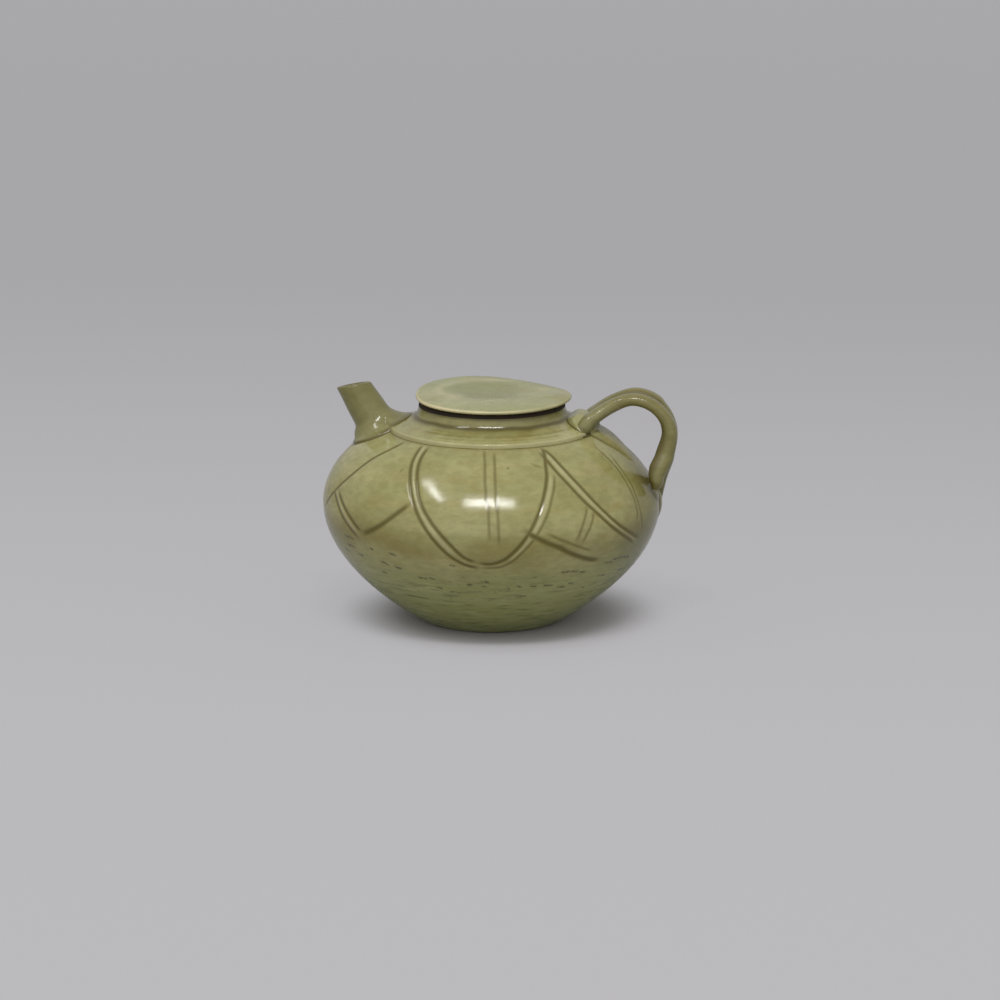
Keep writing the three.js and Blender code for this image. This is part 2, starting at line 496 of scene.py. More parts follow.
@dataclass(frozen=True)
class CeladonGlaze:
    """Iron celadon: a glassy lime-ash glaze over grey stoneware, fired in a smoky kiln.

    Where it lies thin on edges the pale clay shows through it, and where it pools it turns
    a deeper olive brown. It is glossy, with brush-wide horizontal drifts and iron specks.
    """

    name: str
    thin: str
    body: str
    # The thick colour is pooled glaze, and also the colour of painted shade.
    thick: str
    green: str
    drift: float = 5.0
    gloss: float = 0.13
    foot_shade: bool = False
    brown: str = "#8a7c42"
    # The foot colour is partly the glaze's own and partly painted light from the floor below.
    foot: str = "#959a5c"
    scorched: str = "#7a6c30"
    streaked: str = "#5f6436"
    milky: str = "#adb37c"
    shaded: str = "#4c5a30"
    # Colour of the painted shade on the side under the handle.
    handle_side_shade: str = "#5f5a34"
    dragged: str = "#4c4d30"
    edge: str = "#bbb58c"
    iron: str = "#33301c"
    bare_clay: str = "#b7a184"
    ior: float = 1.5

    def make(self) -> bpy.types.Material:
        """Builds the material.

        Returns:
            The glazed material.
        """
        paint = Painter(self.name)
        stored = {name: paint.add("ShaderNodeAttribute", attribute_name=name).outputs["Fac"]
                  for name in ("lean", "pool", "iron", "bare", "dull")}
        broad = (paint.cloud(38.0, 1.6, shift=0.11), Rise(0.34, 0.68))
        drifts = (paint.cloud(26.0, self.drift, 5.0, 0.6, 0.37), Rise(0.3, 0.72))
        fine = (paint.cloud(5.0, 2.2, 4.0, 0.65, 0.53), Rise(0.32, 0.7))
        patches = (paint.cloud(17.0, 2.6, 4.0, 0.6, 0.67), Rise(0.55, 0.72, 0.0, 0.45))
        colour = paint.lay(self.body, (self.thin, broad), (self.green, drifts, 0.6),
                           (self.thick, fine, 0.26), (self.brown, patches))
        if self.foot_shade:
            colour = self.shade_foot(paint, colour)
        torn = (paint.cloud(1.5, 1.3, 3.0, 0.65, 0.29), Rise(0.40, 0.56, 0.0, 0.8))
        specks = paint.spots(5.2, 0.36, 0.8)
        # The pooling layer turns the glaze to its thick colour: glaze pooled in grooves, seams and
        # dips, and painted shade in creases, under the ledge, under the lid and on the handle.
        colour = paint.lay(
            colour, (self.edge, stored["lean"]), (self.thick, stored["pool"]),
            (self.iron, stored["iron"], torn), (self.iron, specks, 0.55),
            (self.bare_clay, stored["bare"]))
        roughness = paint.mask((paint.cloud(9.0, 3.0, shift=0.71), Rise(
            0.3, 0.7, self.gloss - 0.03, self.gloss + 0.05)))
        for matt, roughest in ((stored["bare"], 0.75), (stored["dull"], 0.6)):
            roughness = paint.add("ShaderNodeMath", {
                0: roughness, 1: paint.mask(matt, roughest)}, operation="MAXIMUM").outputs[0]
        swell = paint.add("ShaderNodeBump", {
            "Strength": 0.2, "Distance": 0.2 * MM, "Height": paint.cloud(7.0, 1.6, 1.0, 0.4, 0.19)})
        grain = paint.add("ShaderNodeMath", {
            0: paint.mask(specks, -0.5), 1: paint.cloud(0.9, 1.0, 2.0, 0.5, 0.91)},
            operation="ADD")
        skin = paint.add("ShaderNodeBump", {
            "Strength": 0.06, "Distance": 0.1 * MM, "Height": grain.outputs[0],
            "Normal": swell.outputs[0]})
        return paint.surface(colour, roughness, skin.outputs[0], self.ior)

    def shade_foot(self, paint: Painter, colour: object) -> object:
        """Adds the kiln's colours to the lower belly, with painted light and shade.

        The glaze runs greener and thinner below the petals, with a brown band just under them and
        a belt of pinholes and drag marks. It is lighter there too, partly with painted light that
        stands in for light from the floor. Both lower sides, and the whole side under the handle,
        are darker with painted shade.

        Args:
            paint: The material's painter.
            colour: The glaze colour so far.

        Returns:
            The shaded colour's socket.
        """
        wavy = paint.add("ShaderNodeMath", {
            0: paint.cloud(30.0, 1.0, 2.0, 0.5, 0.23), 1: 0.012, 2: paint.height},
            operation="MULTIPLY_ADD").outputs[0]
        # The lower belly turns to the lighter foot colour, partly painted light that stands in for
        # light from the floor.
        low = paint.mask((wavy, Rise(0.026, 0.050, 1.0, 0.0)))
        band = [(wavy, Rise(0.046, 0.0525)), (wavy, Rise(0.0545, 0.062, 1.0, 0.0)),
                (paint.cloud(24.0, 1.5, 2.0, 0.5, 0.47), Rise(0.36, 0.62, 0.1, 0.5))]
        streaks = (paint.cloud(11.0, 7.0, 4.0, 0.6, 0.83), Rise(0.5, 0.66))
        veils = (paint.cloud(15.0, 7.0, 3.0, 0.6, 0.31), Rise(0.52, 0.66))
        # Painted shade: the lower belly darkens towards the shaded colour on its left and right
        # sides.
        aside = paint.add("ShaderNodeMath", {0: paint.across}, operation="ABSOLUTE").outputs[0]
        sides = [(aside, Rise(0.048, 0.074, 0.0, 0.5)), (wavy, Rise(0.044, 0.060, 1.0, 0.0))]
        # Painted shade on the whole side under the handle.
        under_handle = (paint.across, Rise(0.058, 0.074, 0.0, 0.5))
        marks = [paint.spots(4.0, 1.2, 0.55, 3.0),
                 (paint.cloud(2.4, 1.6, 3.0, 0.7, 0.61), Rise(0.42, 0.6)),
                 paint.mask((wavy, Rise(0.022, 0.030)), (wavy, Rise(0.040, 0.050, 1.0, 0.0)))]
        return paint.lay(
            colour, (self.foot, low, 0.75), (self.scorched, *band),
            (self.streaked, streaks, low, 0.55), (self.milky, veils, low, 0.45),
            (self.shaded, *sides), (self.handle_side_shade, under_handle), (self.dragged, *marks, 0.6))


@dataclass(frozen=True)
class BareStoneware:
    """Unglazed grey-buff stoneware, turned on the wheel: dull, gritty, toasted by the fire."""

    name: str = "Bare turned stoneware"
    pale: str = "#a89a83"
    toasted: str = "#8d7153"
    grit: str = "#564a3c"
    roughness: float = 0.82
    ior: float = 1.45

    def make(self) -> bpy.types.Material:
        """Builds the material.

        Returns:
            The bare clay.
        """
        paint = Painter(self.name)
        toast = (paint.cloud(14.0, 1.0, 4.0, 0.6), Rise(0.35, 0.7))
        colour = paint.lay(self.pale, (self.toasted, toast),
                           (self.grit, paint.spots(1.6, 0.28, 0.6), 0.6))
        tooth = paint.add("ShaderNodeBump", {
            "Strength": 0.5, "Distance": 0.2 * MM, "Height": paint.cloud(0.7, 1.0, 4.0, 0.7, 0.4)})
        return paint.surface(colour, self.roughness, tooth.outputs[0], self.ior)


BELLY_GLAZE = CeladonGlaze(
    name="Celadon glaze on the belly", thin="#a9a371", body="#958e59", thick="#5a511a",
    green="#8f9260", foot_shade=True)
COLLAR_GLAZE = CeladonGlaze(
    name="Celadon glaze on the shoulder", thin="#b0a974", body="#9c955f", thick="#4d4414",
    green="#96996a", drift=9.0)
SPOUT_GLAZE = CeladonGlaze(
    name="Celadon glaze on the spout", thin="#898659", body="#777244", thick="#5a5124",
    green="#6f6d3c", drift=0.6)
HANDLE_GLAZE = CeladonGlaze(
    name="Celadon glaze on the handle", thin="#88855a", body="#7a7344", thick="#544a1c",
    green="#757444", drift=0.8)
WAD_GLAZE = CeladonGlaze(
    name="Celadon glaze on the handle's wads", thin="#a39d6c", body="#8d8655", thick="#4d4414",
    green="#8a8d60", drift=2.0)
LID_GLAZE = CeladonGlaze(
    name="Celadon glaze on the lid", thin="#a8a57c", body="#9a986c", thick="#767a4c",
    green="#8f966a", edge="#cbbf96", drift=1.0, gloss=0.24)


# The top of the neck's rim, in the gap under the lid, is painted near-black and dull: a painted
# shadow.
RIM_SHADOW = BareStoneware(
    name="Painted shadow on the neck's rim", pale="#2a1e0c", toasted="#1a1206", grit="#120c04")


# The pot's own surface


@dataclass
class PotShape:
    """Outer surface of the whole pot, which everything luted on follows."""

    base_radius: float = 32.0
    belly_radius: float = 75.0
    belly_height: float = 52.2
    ledge_radius: float = 45.0
    shoulder_height: float = 85.5
    slack: float = 0.35
    slack_bearing: float = 98.0
    fullness: float = 3.4
    full_bearing: float = 278.0

    def belly(self, count: int) -> Array:
        """Outline of the thrown body from the base's edge to the ledge."""
        lower = bezier([(self.base_radius, 0.0), (46.4, 8.2), (self.belly_radius, 29.2),
                        (self.belly_radius, self.belly_height)], count)
        upper = bezier([(self.belly_radius, self.belly_height), (self.belly_radius, 66.2),
                        (51.2, 85.0), (self.ledge_radius, self.shoulder_height)], count)
        return np.vstack([lower, upper[1:]])

    def collar(self, count: int) -> Array:
        """Outline of the plate and neck from the ledge's edge to the rim."""
        return through([
            (45.25, 84.9), (45.1, 86.2), (44.85, 86.85), (44.2, 87.2), (42.0, 88.05),
            (40.2, 88.7), (38.4, 89.35), (36.4, 90.1), (34.6, 91.1), (33.3, 92.5),
            (32.6, 94.2), (32.4, 95.6), (32.2, 96.7), (31.7, 97.4), (30.9, 97.6),
        ], 8.0 / count)

    def full(self) -> Array:
        """Outline from the base's edge to the neck's rim."""
        return np.vstack([self.belly(120), self.collar(40)[1:]])

    def top(self, radius: Array) -> Array:
        """Height of the pot's upper side at a radius."""
        upper = self.full()
        upper = upper[upper[:, 1] >= self.belly_height][::-1]
        return np.interp(radius, upper[:, 0], upper[:, 1])

    def top_under(self, points: Array) -> Array:
        """Height of the pot's upper side under points, with its fuller shoulder."""
        return self.top(radius_of(points) - self.swell(turn_of(points), points[:, 2]))

    def on_belly(self, bearing: Array, height: Array) -> Array:
        """Points on the belly.

        Args:
            bearing: Degrees round from the front towards the handle.
            height: Heights in millimetres.

        Returns:
            The points.
        """
        outline = self.belly(200)
        radius = np.interp(height, outline[:, 1], outline[:, 0])
        turn = np.radians(bearing)
        return np.stack([radius * np.sin(turn), -radius * np.cos(turn), height], axis=1)

    def give(self, turn: Array, height: Array) -> Array:
        """How much smaller the fired belly came out on one side.

        Args:
            turn: Angles round the pot from +X, in radians.
            height: Heights in millimetres.

        Returns:
            The shortfall of the radius.
        """
        facing = np.clip(np.cos(turn - math.radians(self.slack_bearing - 90.0)), 0.0, 1.0)
        belt = smooth_step(28.0, 42.0, height) * smooth_step(84.0, 74.0, height)
        return self.slack * facing ** 2 * belt

    def swell(self, turn: Array, height: Array) -> Array:
        """How much fuller the shoulder came out under the spout.

        Args:
            turn: Angles round the pot from +X, in radians.
            height: Heights in millimetres.

        Returns:
            The surplus of the radius.
        """
        facing = np.clip(np.cos(turn - math.radians(self.full_bearing - 90.0)), 0.0, 1.0)
        belt = smooth_step(50.0, 77.0, height) * smooth_step(84.8, 79.0, height)
        return self.fullness * facing ** 4 * belt

    def patch(self, along: Array, across: Array, lift: Array) -> Array:
        """Points on or above the meridian under the handle.

        Args:
            along: Distance up the outline from the base's edge, in millimetres.
            across: Distance towards the back, in millimetres.
            lift: Height above the surface.

        Returns:
            The points.
        """
        outline = self.full()
        run = lengths_along(outline)
        normal = outward(outline)
        radius, height, out, up = (
            np.interp(along, run, column)
            for column in (outline[:, 0], outline[:, 1], normal[:, 0], normal[:, 1]))
        turn = across / radius
        reach = radius + out * lift - self.give(turn, height)
        return np.stack([reach * np.cos(turn), reach * np.sin(turn), height + up * lift], axis=1)

    def along_at_height(self, height: float) -> float:
        """Distance up the outline to a height on the belly."""
        outline = self.belly(120)
        return float(np.interp(height, outline[:, 1], lengths_along(outline)))

    def along_at_radius(self, radius: float) -> float:
        """Distance up the outline to a radius above the belly's widest."""
        outline = self.full()
        run = lengths_along(outline)
        upper = outline[:, 1] >= self.belly_height
        return float(np.interp(-radius, -outline[upper, 0], run[upper]))


POT = PotShape()


# The body


class Stroke(Enum):
    """How a line was made: depth and half-width in millimetres, and how dark its glaze is.

    A ridge is the clay left standing between two cuts, where the glaze lies thin.
    """

    FIRM = (0.24, 0.8, 0.95)
    LIGHT = (0.12, 0.65, 0.62)
    BROAD = (0.3, 1.15, 0.95)
    RIDGE = (-0.04, 1.0, -0.38)
    MARK = (0.08, 0.46, 1.0)


@dataclass(frozen=True)
class Incision:
    """One line cut in the leather-hard clay, as bearings and heights."""

    stroke: Stroke
    points: Outline

    def samples(self) -> Array:
        """Points along the line on the belly, with how firmly the tool pressed.

        Returns:
            Rows of x, y, z and press.
        """
        flat = through(self.points, 0.2)
        spots = POT.on_belly(flat[:, 0], flat[:, 1])
        run = lengths_along(spots)
        press = np.minimum(run, run[-1] - run)
        firm = 1.0 if self.stroke is Stroke.MARK else smooth_step(-1.5, 4.0, press)
        return np.column_stack([spots, firm * np.ones(len(spots))])


PETAL_OUTSIDE = [(-32, 85.2), (-29.6, 79.5), (-27.7, 76.3), (-25.4, 72.7), (-23.1, 69.1),
                 (-20.8, 65.5), (-18.6, 62), (-15.9, 57.9), (-13.1, 53.6), (-10.7, 50.1),
                 (-8, 46.4), (-4.3, 42.6), (-0.5, 40.2), (3.9, 39)]
PETAL_INSIDE = [(-27.3, 85), (-26.8, 81.9), (-25.4, 78.4), (-23.1, 74.2), (-21, 70.7),
                (-18.5, 66.4), (-15.8, 62.7), (-12.9, 58.9), (-10.2, 55.3), (-6, 49.8),
                (-1.1, 43.7), (3.1, 41.5)]
PETAL_RETURN = [(3.1, 41.5), (7.7, 41), (12, 43), (15.9, 47.5), (19, 52.5), (21.8, 57.9),
                (23.6, 61.5), (25.9, 66), (27.7, 69.7), (29.6, 73.3), (31.1, 76.3),
                (32.2, 79.2), (33.8, 82.1), (35.5, 85.4)]
PETAL_EDGE = [(3.9, 39), (10.7, 39.6), (14.4, 41.9), (18.3, 46.6), (21.9, 52), (24.4, 56.7),
              (26.2, 60), (28.2, 63.8), (30, 67.6), (32.1, 71.2), (34.5, 76.2)]
SWEEP_ABOVE = [(34.2, 85.4), (37.4, 82.9), (39.1, 79.6), (41.7, 74.3), (44.3, 69.2),
               (46.7, 64.5), (50.8, 58.2), (54.1, 54.2), (58.7, 50.1), (64.8, 45.8), (68, 43.9)]
SWEEP_BELOW = [(32.5, 84.2), (33.8, 81.5), (35.9, 77.1), (38.3, 72.8), (40.7, 68.3),
               (42.9, 64.6), (46, 60.2), (50, 54.9), (54.1, 50.7), (59.3, 46.5), (64.9, 42.6)]
LEFT_PETAL_OUTSIDE = [(-63.2, 62.5), (-58.8, 59.6), (-55.3, 56.8), (-51.7, 53.6),
                      (-48.2, 50.6), (-44.9, 48), (-42.6, 46.4)]
LEFT_PETAL_INSIDE = [(-59.4, 63.1), (-54.5, 59.9), (-50.2, 56.9), (-46.1, 53.9),
                     (-42.6, 50.9), (-40.4, 49.3)]


def between(first: Outline, second: Outline) -> Outline:
    """The line halfway between two cuts.

    Args:
        first: One cut, as bearings and heights.
        second: The other, in the same direction.

    Returns:
        The middle line.
    """
    at = np.linspace(0.0, 1.0, 12)
    pair = [sampled(np.array(line, float), at) for line in (first, second)]
    return [(float(x), float(y)) for x, y in (pair[0] + pair[1]) / 2]


FRONT_LINES = [
    Incision(Stroke.FIRM, PETAL_OUTSIDE),
    Incision(Stroke.FIRM, PETAL_INSIDE),
    Incision(Stroke.FIRM, PETAL_RETURN),
    Incision(Stroke.LIGHT, PETAL_EDGE),
    Incision(Stroke.RIDGE, between(PETAL_OUTSIDE[:-3], PETAL_INSIDE[:-1])),
    Incision(Stroke.RIDGE, between(PETAL_RETURN[2:-3], PETAL_EDGE[2:])),
    Incision(Stroke.LIGHT, [(3.9, 85.4), (4.8, 80.6), (5.2, 74.8), (5.9, 69.6), (6.7, 64.2),
                            (7, 58.5), (7.2, 51.8)]),
    Incision(Stroke.LIGHT, [(9, 84.6), (9.2, 80.7), (9.3, 73.1), (10, 61.4), (10.3, 50)]),
    Incision(Stroke.FIRM, SWEEP_ABOVE),
    Incision(Stroke.FIRM, SWEEP_BELOW),
    Incision(Stroke.RIDGE, between(SWEEP_ABOVE, SWEEP_BELOW)),
    Incision(Stroke.LIGHT, [(67.4, 81.9), (68.2, 79.1), (68.6, 75.3), (68.6, 71.5),
                            (68.2, 67.7), (67.5, 63.6), (66.7, 59.4), (66.1, 55.5), (64.9, 51.6)]),
    Incision(Stroke.LIGHT, [(72.6, 78.4), (71.6, 75.1), (70.9, 71), (70.8, 67.5), (69.8, 63.8),
                            (68.8, 59.6), (68.4, 54.9), (68.8, 50.6), (69, 46.8)]),
    Incision(Stroke.LIGHT, [(43, 64), (42, 61.1), (40.5, 58.2), (39, 54.9), (37.6, 51.4),
                            (36.4, 48.9)]),
    Incision(Stroke.LIGHT, [(45.2, 61.6), (44, 58.4), (42.5, 55), (40.9, 52), (39.7, 49.1),
                            (38.8, 47.3)]),
    Incision(Stroke.BROAD, [(18.7, 56.3), (20.5, 54.1), (23.3, 52), (26.3, 49.8), (30.4, 47.4),
                            (34.4, 44.4), (38.5, 42), (44.5, 39.3), (48.3, 38.6)]),
    Incision(Stroke.LIGHT, [(26.3, 54), (30.2, 51.3), (35.1, 48.3), (40, 45.5), (43.9, 43.6)]),
    Incision(Stroke.FIRM, [(-45.4, 85.1), (-48, 82.2), (-51.2, 78.9), (-53.6, 75.7),
                           (-55.8, 71.9), (-58.5, 67.7), (-61.3, 63.8), (-64.2, 60),
                           (-67, 56.2), (-69.3, 53.5)]),
    Incision(Stroke.FIRM, LEFT_PETAL_OUTSIDE),
    Incision(Stroke.FIRM, LEFT_PETAL_INSIDE),
    Incision(Stroke.RIDGE, between(LEFT_PETAL_OUTSIDE[:-1], LEFT_PETAL_INSIDE)),
    Incision(Stroke.BROAD, [(-41, 49.4), (-39, 49.6), (-36.5, 50.9), (-31.8, 54.4),
                            (-28, 58.3), (-24.7, 61.9), (-21.8, 65)]),
    Incision(Stroke.LIGHT, [(-31.7, 77.4), (-32.4, 75.1)]),
    Incision(Stroke.LIGHT, [(25.7, 80.6), (27.9, 79.6), (30.7, 78.9)]),
]


def back_petal(centre: float) -> list[Incision]:
    """One petal of the side that the photograph doesn't show.

    Args:
        centre: Bearing of its tip.

    Returns:
        Its lines.
    """
    outer = [(30, 85.5), (29, 80), (26, 73), (21, 64), (15, 54), (8, 45), (0, 40)]
    inner = [(26, 85), (25, 79), (22, 72), (17, 63), (11, 54), (5, 46), (0, 43.5)]
    lines = []
    for points in (outer, inner):
        there = [(centre - turn, height) for turn, height in points]
        back = [(centre + turn, height) for turn, height in points[::-1][1:]]
        lines.append(Incision(Stroke.FIRM, there + back))
    lines.append(Incision(Stroke.LIGHT, [(centre - 1, 85), (centre, 70), (centre, 54)]))
    lines.append(Incision(Stroke.LIGHT, [(centre + 3, 83), (centre + 3, 68), (centre + 4, 50)]))
    return lines


BACK_LINES = [line for centre in (128, 180, 232) for line in back_petal(centre)]

# Drag marks and pits of the front, as bearing, height and length in degrees. All lie low
# on the belly but the last, which stays out of the turns that are mirrored
PITS = [
    (-50.4, 45.3, 2.2), (-50.1, 41.2, 2.4), (-44.3, 38.1, 2.0), (-36.9, 42.7, 1.0),
    (-34.9, 31.6, 1.7), (-33.0, 37.3, 2.0), (-31.4, 36.3, 1.5), (-28.3, 42.3, 0.9),
    (-27.0, 42.1, 0.9), (-26.9, 35.8, 2.3), (-25.7, 20.8, 11.5), (-17.9, 32.2, 2.9),
    (-14.0, 32.5, 1.6), (-12.1, 27.7, 2.1), (-6.4, 26.0, 3.6), (-5.6, 40.0, 1.0),
    (-2.2, 34.5, 0.7), (-0.1, 30.5, 1.5), (5.1, 29.7, 1.8), (5.4, 32.1, 2.5),
    (14.3, 28.3, 0.8), (18.2, 29.3, 0.8), (19.2, 24.0, 4.1), (23.5, 29.1, 2.4),
    (29.4, 28.9, 3.0), (35.2, 27.3, 2.8), (36.7, 34.9, 6.2), (39.0, 28.5, 1.5),
    (42.5, 33.8, 2.4), (46.7, 24.9, 0.9), (53.2, 29.7, 3.5), (53.8, 36.0, 3.1),
    (60.7, 36.9, 3.1), (15.0, 79.3, 0.4),
]


def pit_marks() -> list[Incision]:
    """The pits of the front, and others like them round the rest of the belly.

    Returns:
        Short marks.
    """
    marks = []
    for turn, flip in ((0.0, 1.0), (118.0, -1.0), (192.0, 1.0), (262.0, -1.0)):
        for bearing, height, length in PITS if flip > 0 else PITS[:-1]:
            middle = turn + flip * bearing
            marks.append(Incision(Stroke.MARK, [
                (middle - length / 2, height + 0.15), (middle, height),
                (middle + length / 2, height - 0.2)]))
    return marks


MARKS = pit_marks()
ALL_LINES = FRONT_LINES + BACK_LINES + MARKS


@dataclass
class SpoutAxis:
    """Where the spout stands and how it leans."""

    root: tuple[float, float, float] = (-50.7, 0.0, 83.9)
    lean: float = 30.5

    @property
    def along(self) -> Array:
        """Unit vector out along the spout."""
        turn = math.radians(self.lean)
        return np.array([-math.sin(turn), 0.0, math.cos(turn)])

    @property
    def inner(self) -> Array:
        """Unit vector across the spout, towards the pot's middle."""
        turn = math.radians(self.lean)
        return np.array([math.cos(turn), 0.0, math.sin(turn)])

    def aside(self, turn: Array) -> Array:
        """Unit vectors across the spout at angles round it, from its inner side."""
        return np.outer(np.cos(turn), self.inner) + np.outer(np.sin(turn), [0.0, 1.0, 0.0])

    def distance(self, points: Array) -> Array:
        """Distance of points from the spout's middle line."""
        away = points - np.array(self.root)
        return np.linalg.norm(away - np.outer(away @ self.along, self.along), axis=1)


AXIS = SpoutAxis()


@dataclass
class ThrownBody:
    """The vessel, with its incised petals and its hole for the spout."""

    wall: float = 4.5
    floor: float = 6.0
    columns: int = 270
    rows: int = 44
    bore_radius: float = 4.4
    bore_depth: float = 24.0
    skirt_radius: float = 16.3
    skirt_squash: float = 2.8
    fineness: tuple[float, float] = (2.3, 1.5)
    mark_fineness: float = 0.55
    lowest_mark: float = 17.0
    inset: float = 0.06
    seam_depth: float = 0.35
    ring_depth: float = 0.025
    dent_depth: float = 0.15

    def outline(self) -> Array:
        """Closed half section from the base's middle round to the floor's middle.

        Returns:
            Radii and heights.
        """
        outer = POT.belly(self.rows)
        base = np.array([(0.0, 0.55), (14.0, 0.5), (25.0, 0.4), (28.5, 0.12), (30.2, 0.0),
                         (31.4, 0.0), (31.95, 0.25)])
        outer = outer[outer[:, 1] > 0.5]
        inner = (outer - outward(outer) * self.wall)[::-2]
        inner = inner[(inner[:, 1] > self.floor + 2.0) & (inner[:, 1] < 80.3)]
        seat = np.array([(40.0, 86.3), (37.0, 86.78), (36.2, 86.7), (35.9, 86.3),
                         (35.6, 84.6), (36.5, 82.6), (40.0, 81.4)])
        ground = np.array([(inner[-1, 0] - 4.5, self.floor + 0.5), (inner[-1, 0] - 10, self.floor),
                           (20.0, self.floor), (9.0, self.floor), (0.0, self.floor)])
        return np.vstack([base, outer, seat, inner, ground])

    def hollow(self, bm: bmesh.types.BMesh) -> bmesh.types.BMesh:
        """Cuts the hole that the spout stands over.

        Args:
            bm: The thrown vessel, which is freed.

        Returns:
            The vessel with its hole.
        """
        vessel = bpy.data.meshes.new("vessel")
        bm.to_mesh(vessel)
        bm.free()
        tool = bmesh.new()
        bmesh.ops.create_cone(tool, cap_ends=True, segments=32, radius1=self.bore_radius,
                              radius2=self.bore_radius, depth=self.bore_depth)
        turn = Vector((0, 0, 1)).rotation_difference(Vector(AXIS.along)).to_matrix().to_4x4()
        bmesh.ops.transform(tool, matrix=turn, verts=tool.verts)
        bmesh.ops.translate(tool, vec=AXIS.root, verts=tool.verts)
        cutter = bpy.data.meshes.new("bore")
        tool.to_mesh(cutter)
        tool.free()
        pair = [bpy.data.objects.new(mesh.name, mesh) for mesh in (vessel, cutter)]
        for item in pair:
            bpy.context.scene.collection.objects.link(item)
        cut = pair[0].modifiers.new("bore", "BOOLEAN")
        cut.operation = "DIFFERENCE"
        cut.solver = "EXACT"
        cut.object = pair[1]
        graph = bpy.context.evaluated_depsgraph_get()
        result = bmesh.new()
        result.from_mesh(pair[0].evaluated_get(graph).to_mesh())
        for item in pair:
            mesh = item.data
            bpy.data.objects.remove(item)
            bpy.data.meshes.remove(mesh)
        return result

    def refine(self, bm: bmesh.types.BMesh) -> None:
        """Splits the mesh finer along the incised lines and marks and keeps it on the outline.

        Args:
            bm: The vessel.
        """
        trees = {share: tree_of(np.vstack([line.samples() for line in chosen])[::3])
                 for share, chosen in ((1.0, FRONT_LINES + BACK_LINES),
                                       (self.mark_fineness, MARKS))}
        outline = POT.belly(400)
        for reach in self.fineness:
            near = {vertex for vertex in bm.verts if vertex.co.z > self.lowest_mark and any(
                tree.find(vertex.co)[2] < reach * share for share, tree in trees.items())}
            edges = [edge for edge in bm.edges if edge.verts[0] in near or edge.verts[1] in near]
            made = bmesh.ops.subdivide_edges(bm, edges=edges, cuts=1, use_grid_fill=True)
            fresh = {item for item in made["geom_inner"] if isinstance(item, bmesh.types.BMVert)}
            for vertex in fresh:
                radius = math.hypot(vertex.co.x, vertex.co.y)
                gap = np.hypot(outline[:, 0] - radius, outline[:, 1] - vertex.co.z)
                if gap.min() <= 1.0 and vertex.co.z < 80.0:
                    true = float(np.interp(vertex.co.z, outline[:, 1], outline[:, 0]))
                    vertex.co.x *= true / radius
                    vertex.co.y *= true / radius

    def press_lines(self, points: Array, where: Array) -> tuple[Array, Array, Array, Array]:
        """Presses the incised lines and the marks into the skin.

        Args:
            points: The vessel's points.
            where: Which of them lie where lines are.

        Returns:
            For each point its depth, how deep the glaze pools, how thin it lies on a ridge
            and how dark its iron is.
        """
        sink, pool, lean, iron = np.zeros((4, len(points)))
        for stroke in Stroke:
            depth, width, dark = stroke.value
            rows = np.vstack([line.samples() for line in ALL_LINES if line.stroke is stroke])
            tree = tree_of(rows)
            for i in np.nonzero(where)[0]:
                _, nearest, away = tree.find(Vector(points[i]))
                if away > 4.0 * width:
                    continue
                press = rows[nearest, 3]
                groove = depth * press * math.exp(-(away / width) ** 2)
                shade = dark * press * math.exp(-(away / (1.1 * width)) ** 3)
                if stroke is Stroke.RIDGE:
                    lean[i] = max(lean[i], -shade)
                    sink[i] += groove
                    continue
                if stroke is Stroke.MARK:
                    iron[i] = max(iron[i], shade)
                    shade *= 0.3
                burr = 0.05 * depth * press * math.exp(-((away - 2.0 * width) / width) ** 2)
                if groove > burr:
                    sink[i] = max(sink[i], groove)
                elif sink[i] <= 0:
                    sink[i] = min(sink[i], -burr)
                pool[i] = max(pool[i], shade)
        lean *= 1.0 - np.clip(pool * 1.6, 0.0, 1.0)
        return sink, pool, lean, iron

    def carve(self, bm: bmesh.types.BMesh) -> None:
        """Cuts the lines, leaves the wheel's rings and stores where the glaze pools and where shade
        is painted.

        Args:
            bm: The vessel.
        """
        points = places(bm)
        height, radius, turn = points[:, 2].copy(), radius_of(points), turn_of(points)
        outline = POT.belly(400)
        skin, out, up = (np.interp(height, outline[:, 1], column)
                         for column in (outline[:, 0], *outward(outline).T))
        outer = (np.abs(radius - skin) < 0.8) | ((height > 81.5) & (radius > 44.9))
        sink, pool, lean, iron = self.press_lines(points, outer & (height > self.lowest_mark))
        sideways = np.stack([np.cos(turn), np.sin(turn), np.zeros(len(points))], axis=1)
        swell = np.where(outer, POT.swell(turn, height), 0.0)[:, None] * sideways
        inwards = (points + swell - np.array(AXIS.root)) @ AXIS.inner
        outside = np.clip(-np.cos(np.arctan2(points[:, 1], inwards)), 0.0, 1.0) ** 2
        seam = np.abs(AXIS.distance(points + swell) - self.skirt_radius
                      + self.skirt_squash * outside)
        by_spout = outer & (height > 60.0) & (points[:, 0] < -30.0)
        sink += np.where(by_spout, self.seam_depth * hump(seam, 0.0, 0.7), 0.0)
        # Painted shade: a dark band on the belly just under the ledge's edge.
        ledge_shade = 0.3 * smooth_step(48.5, 45.2, radius) + 0.5 * smooth_step(46.7, 45.8, radius)
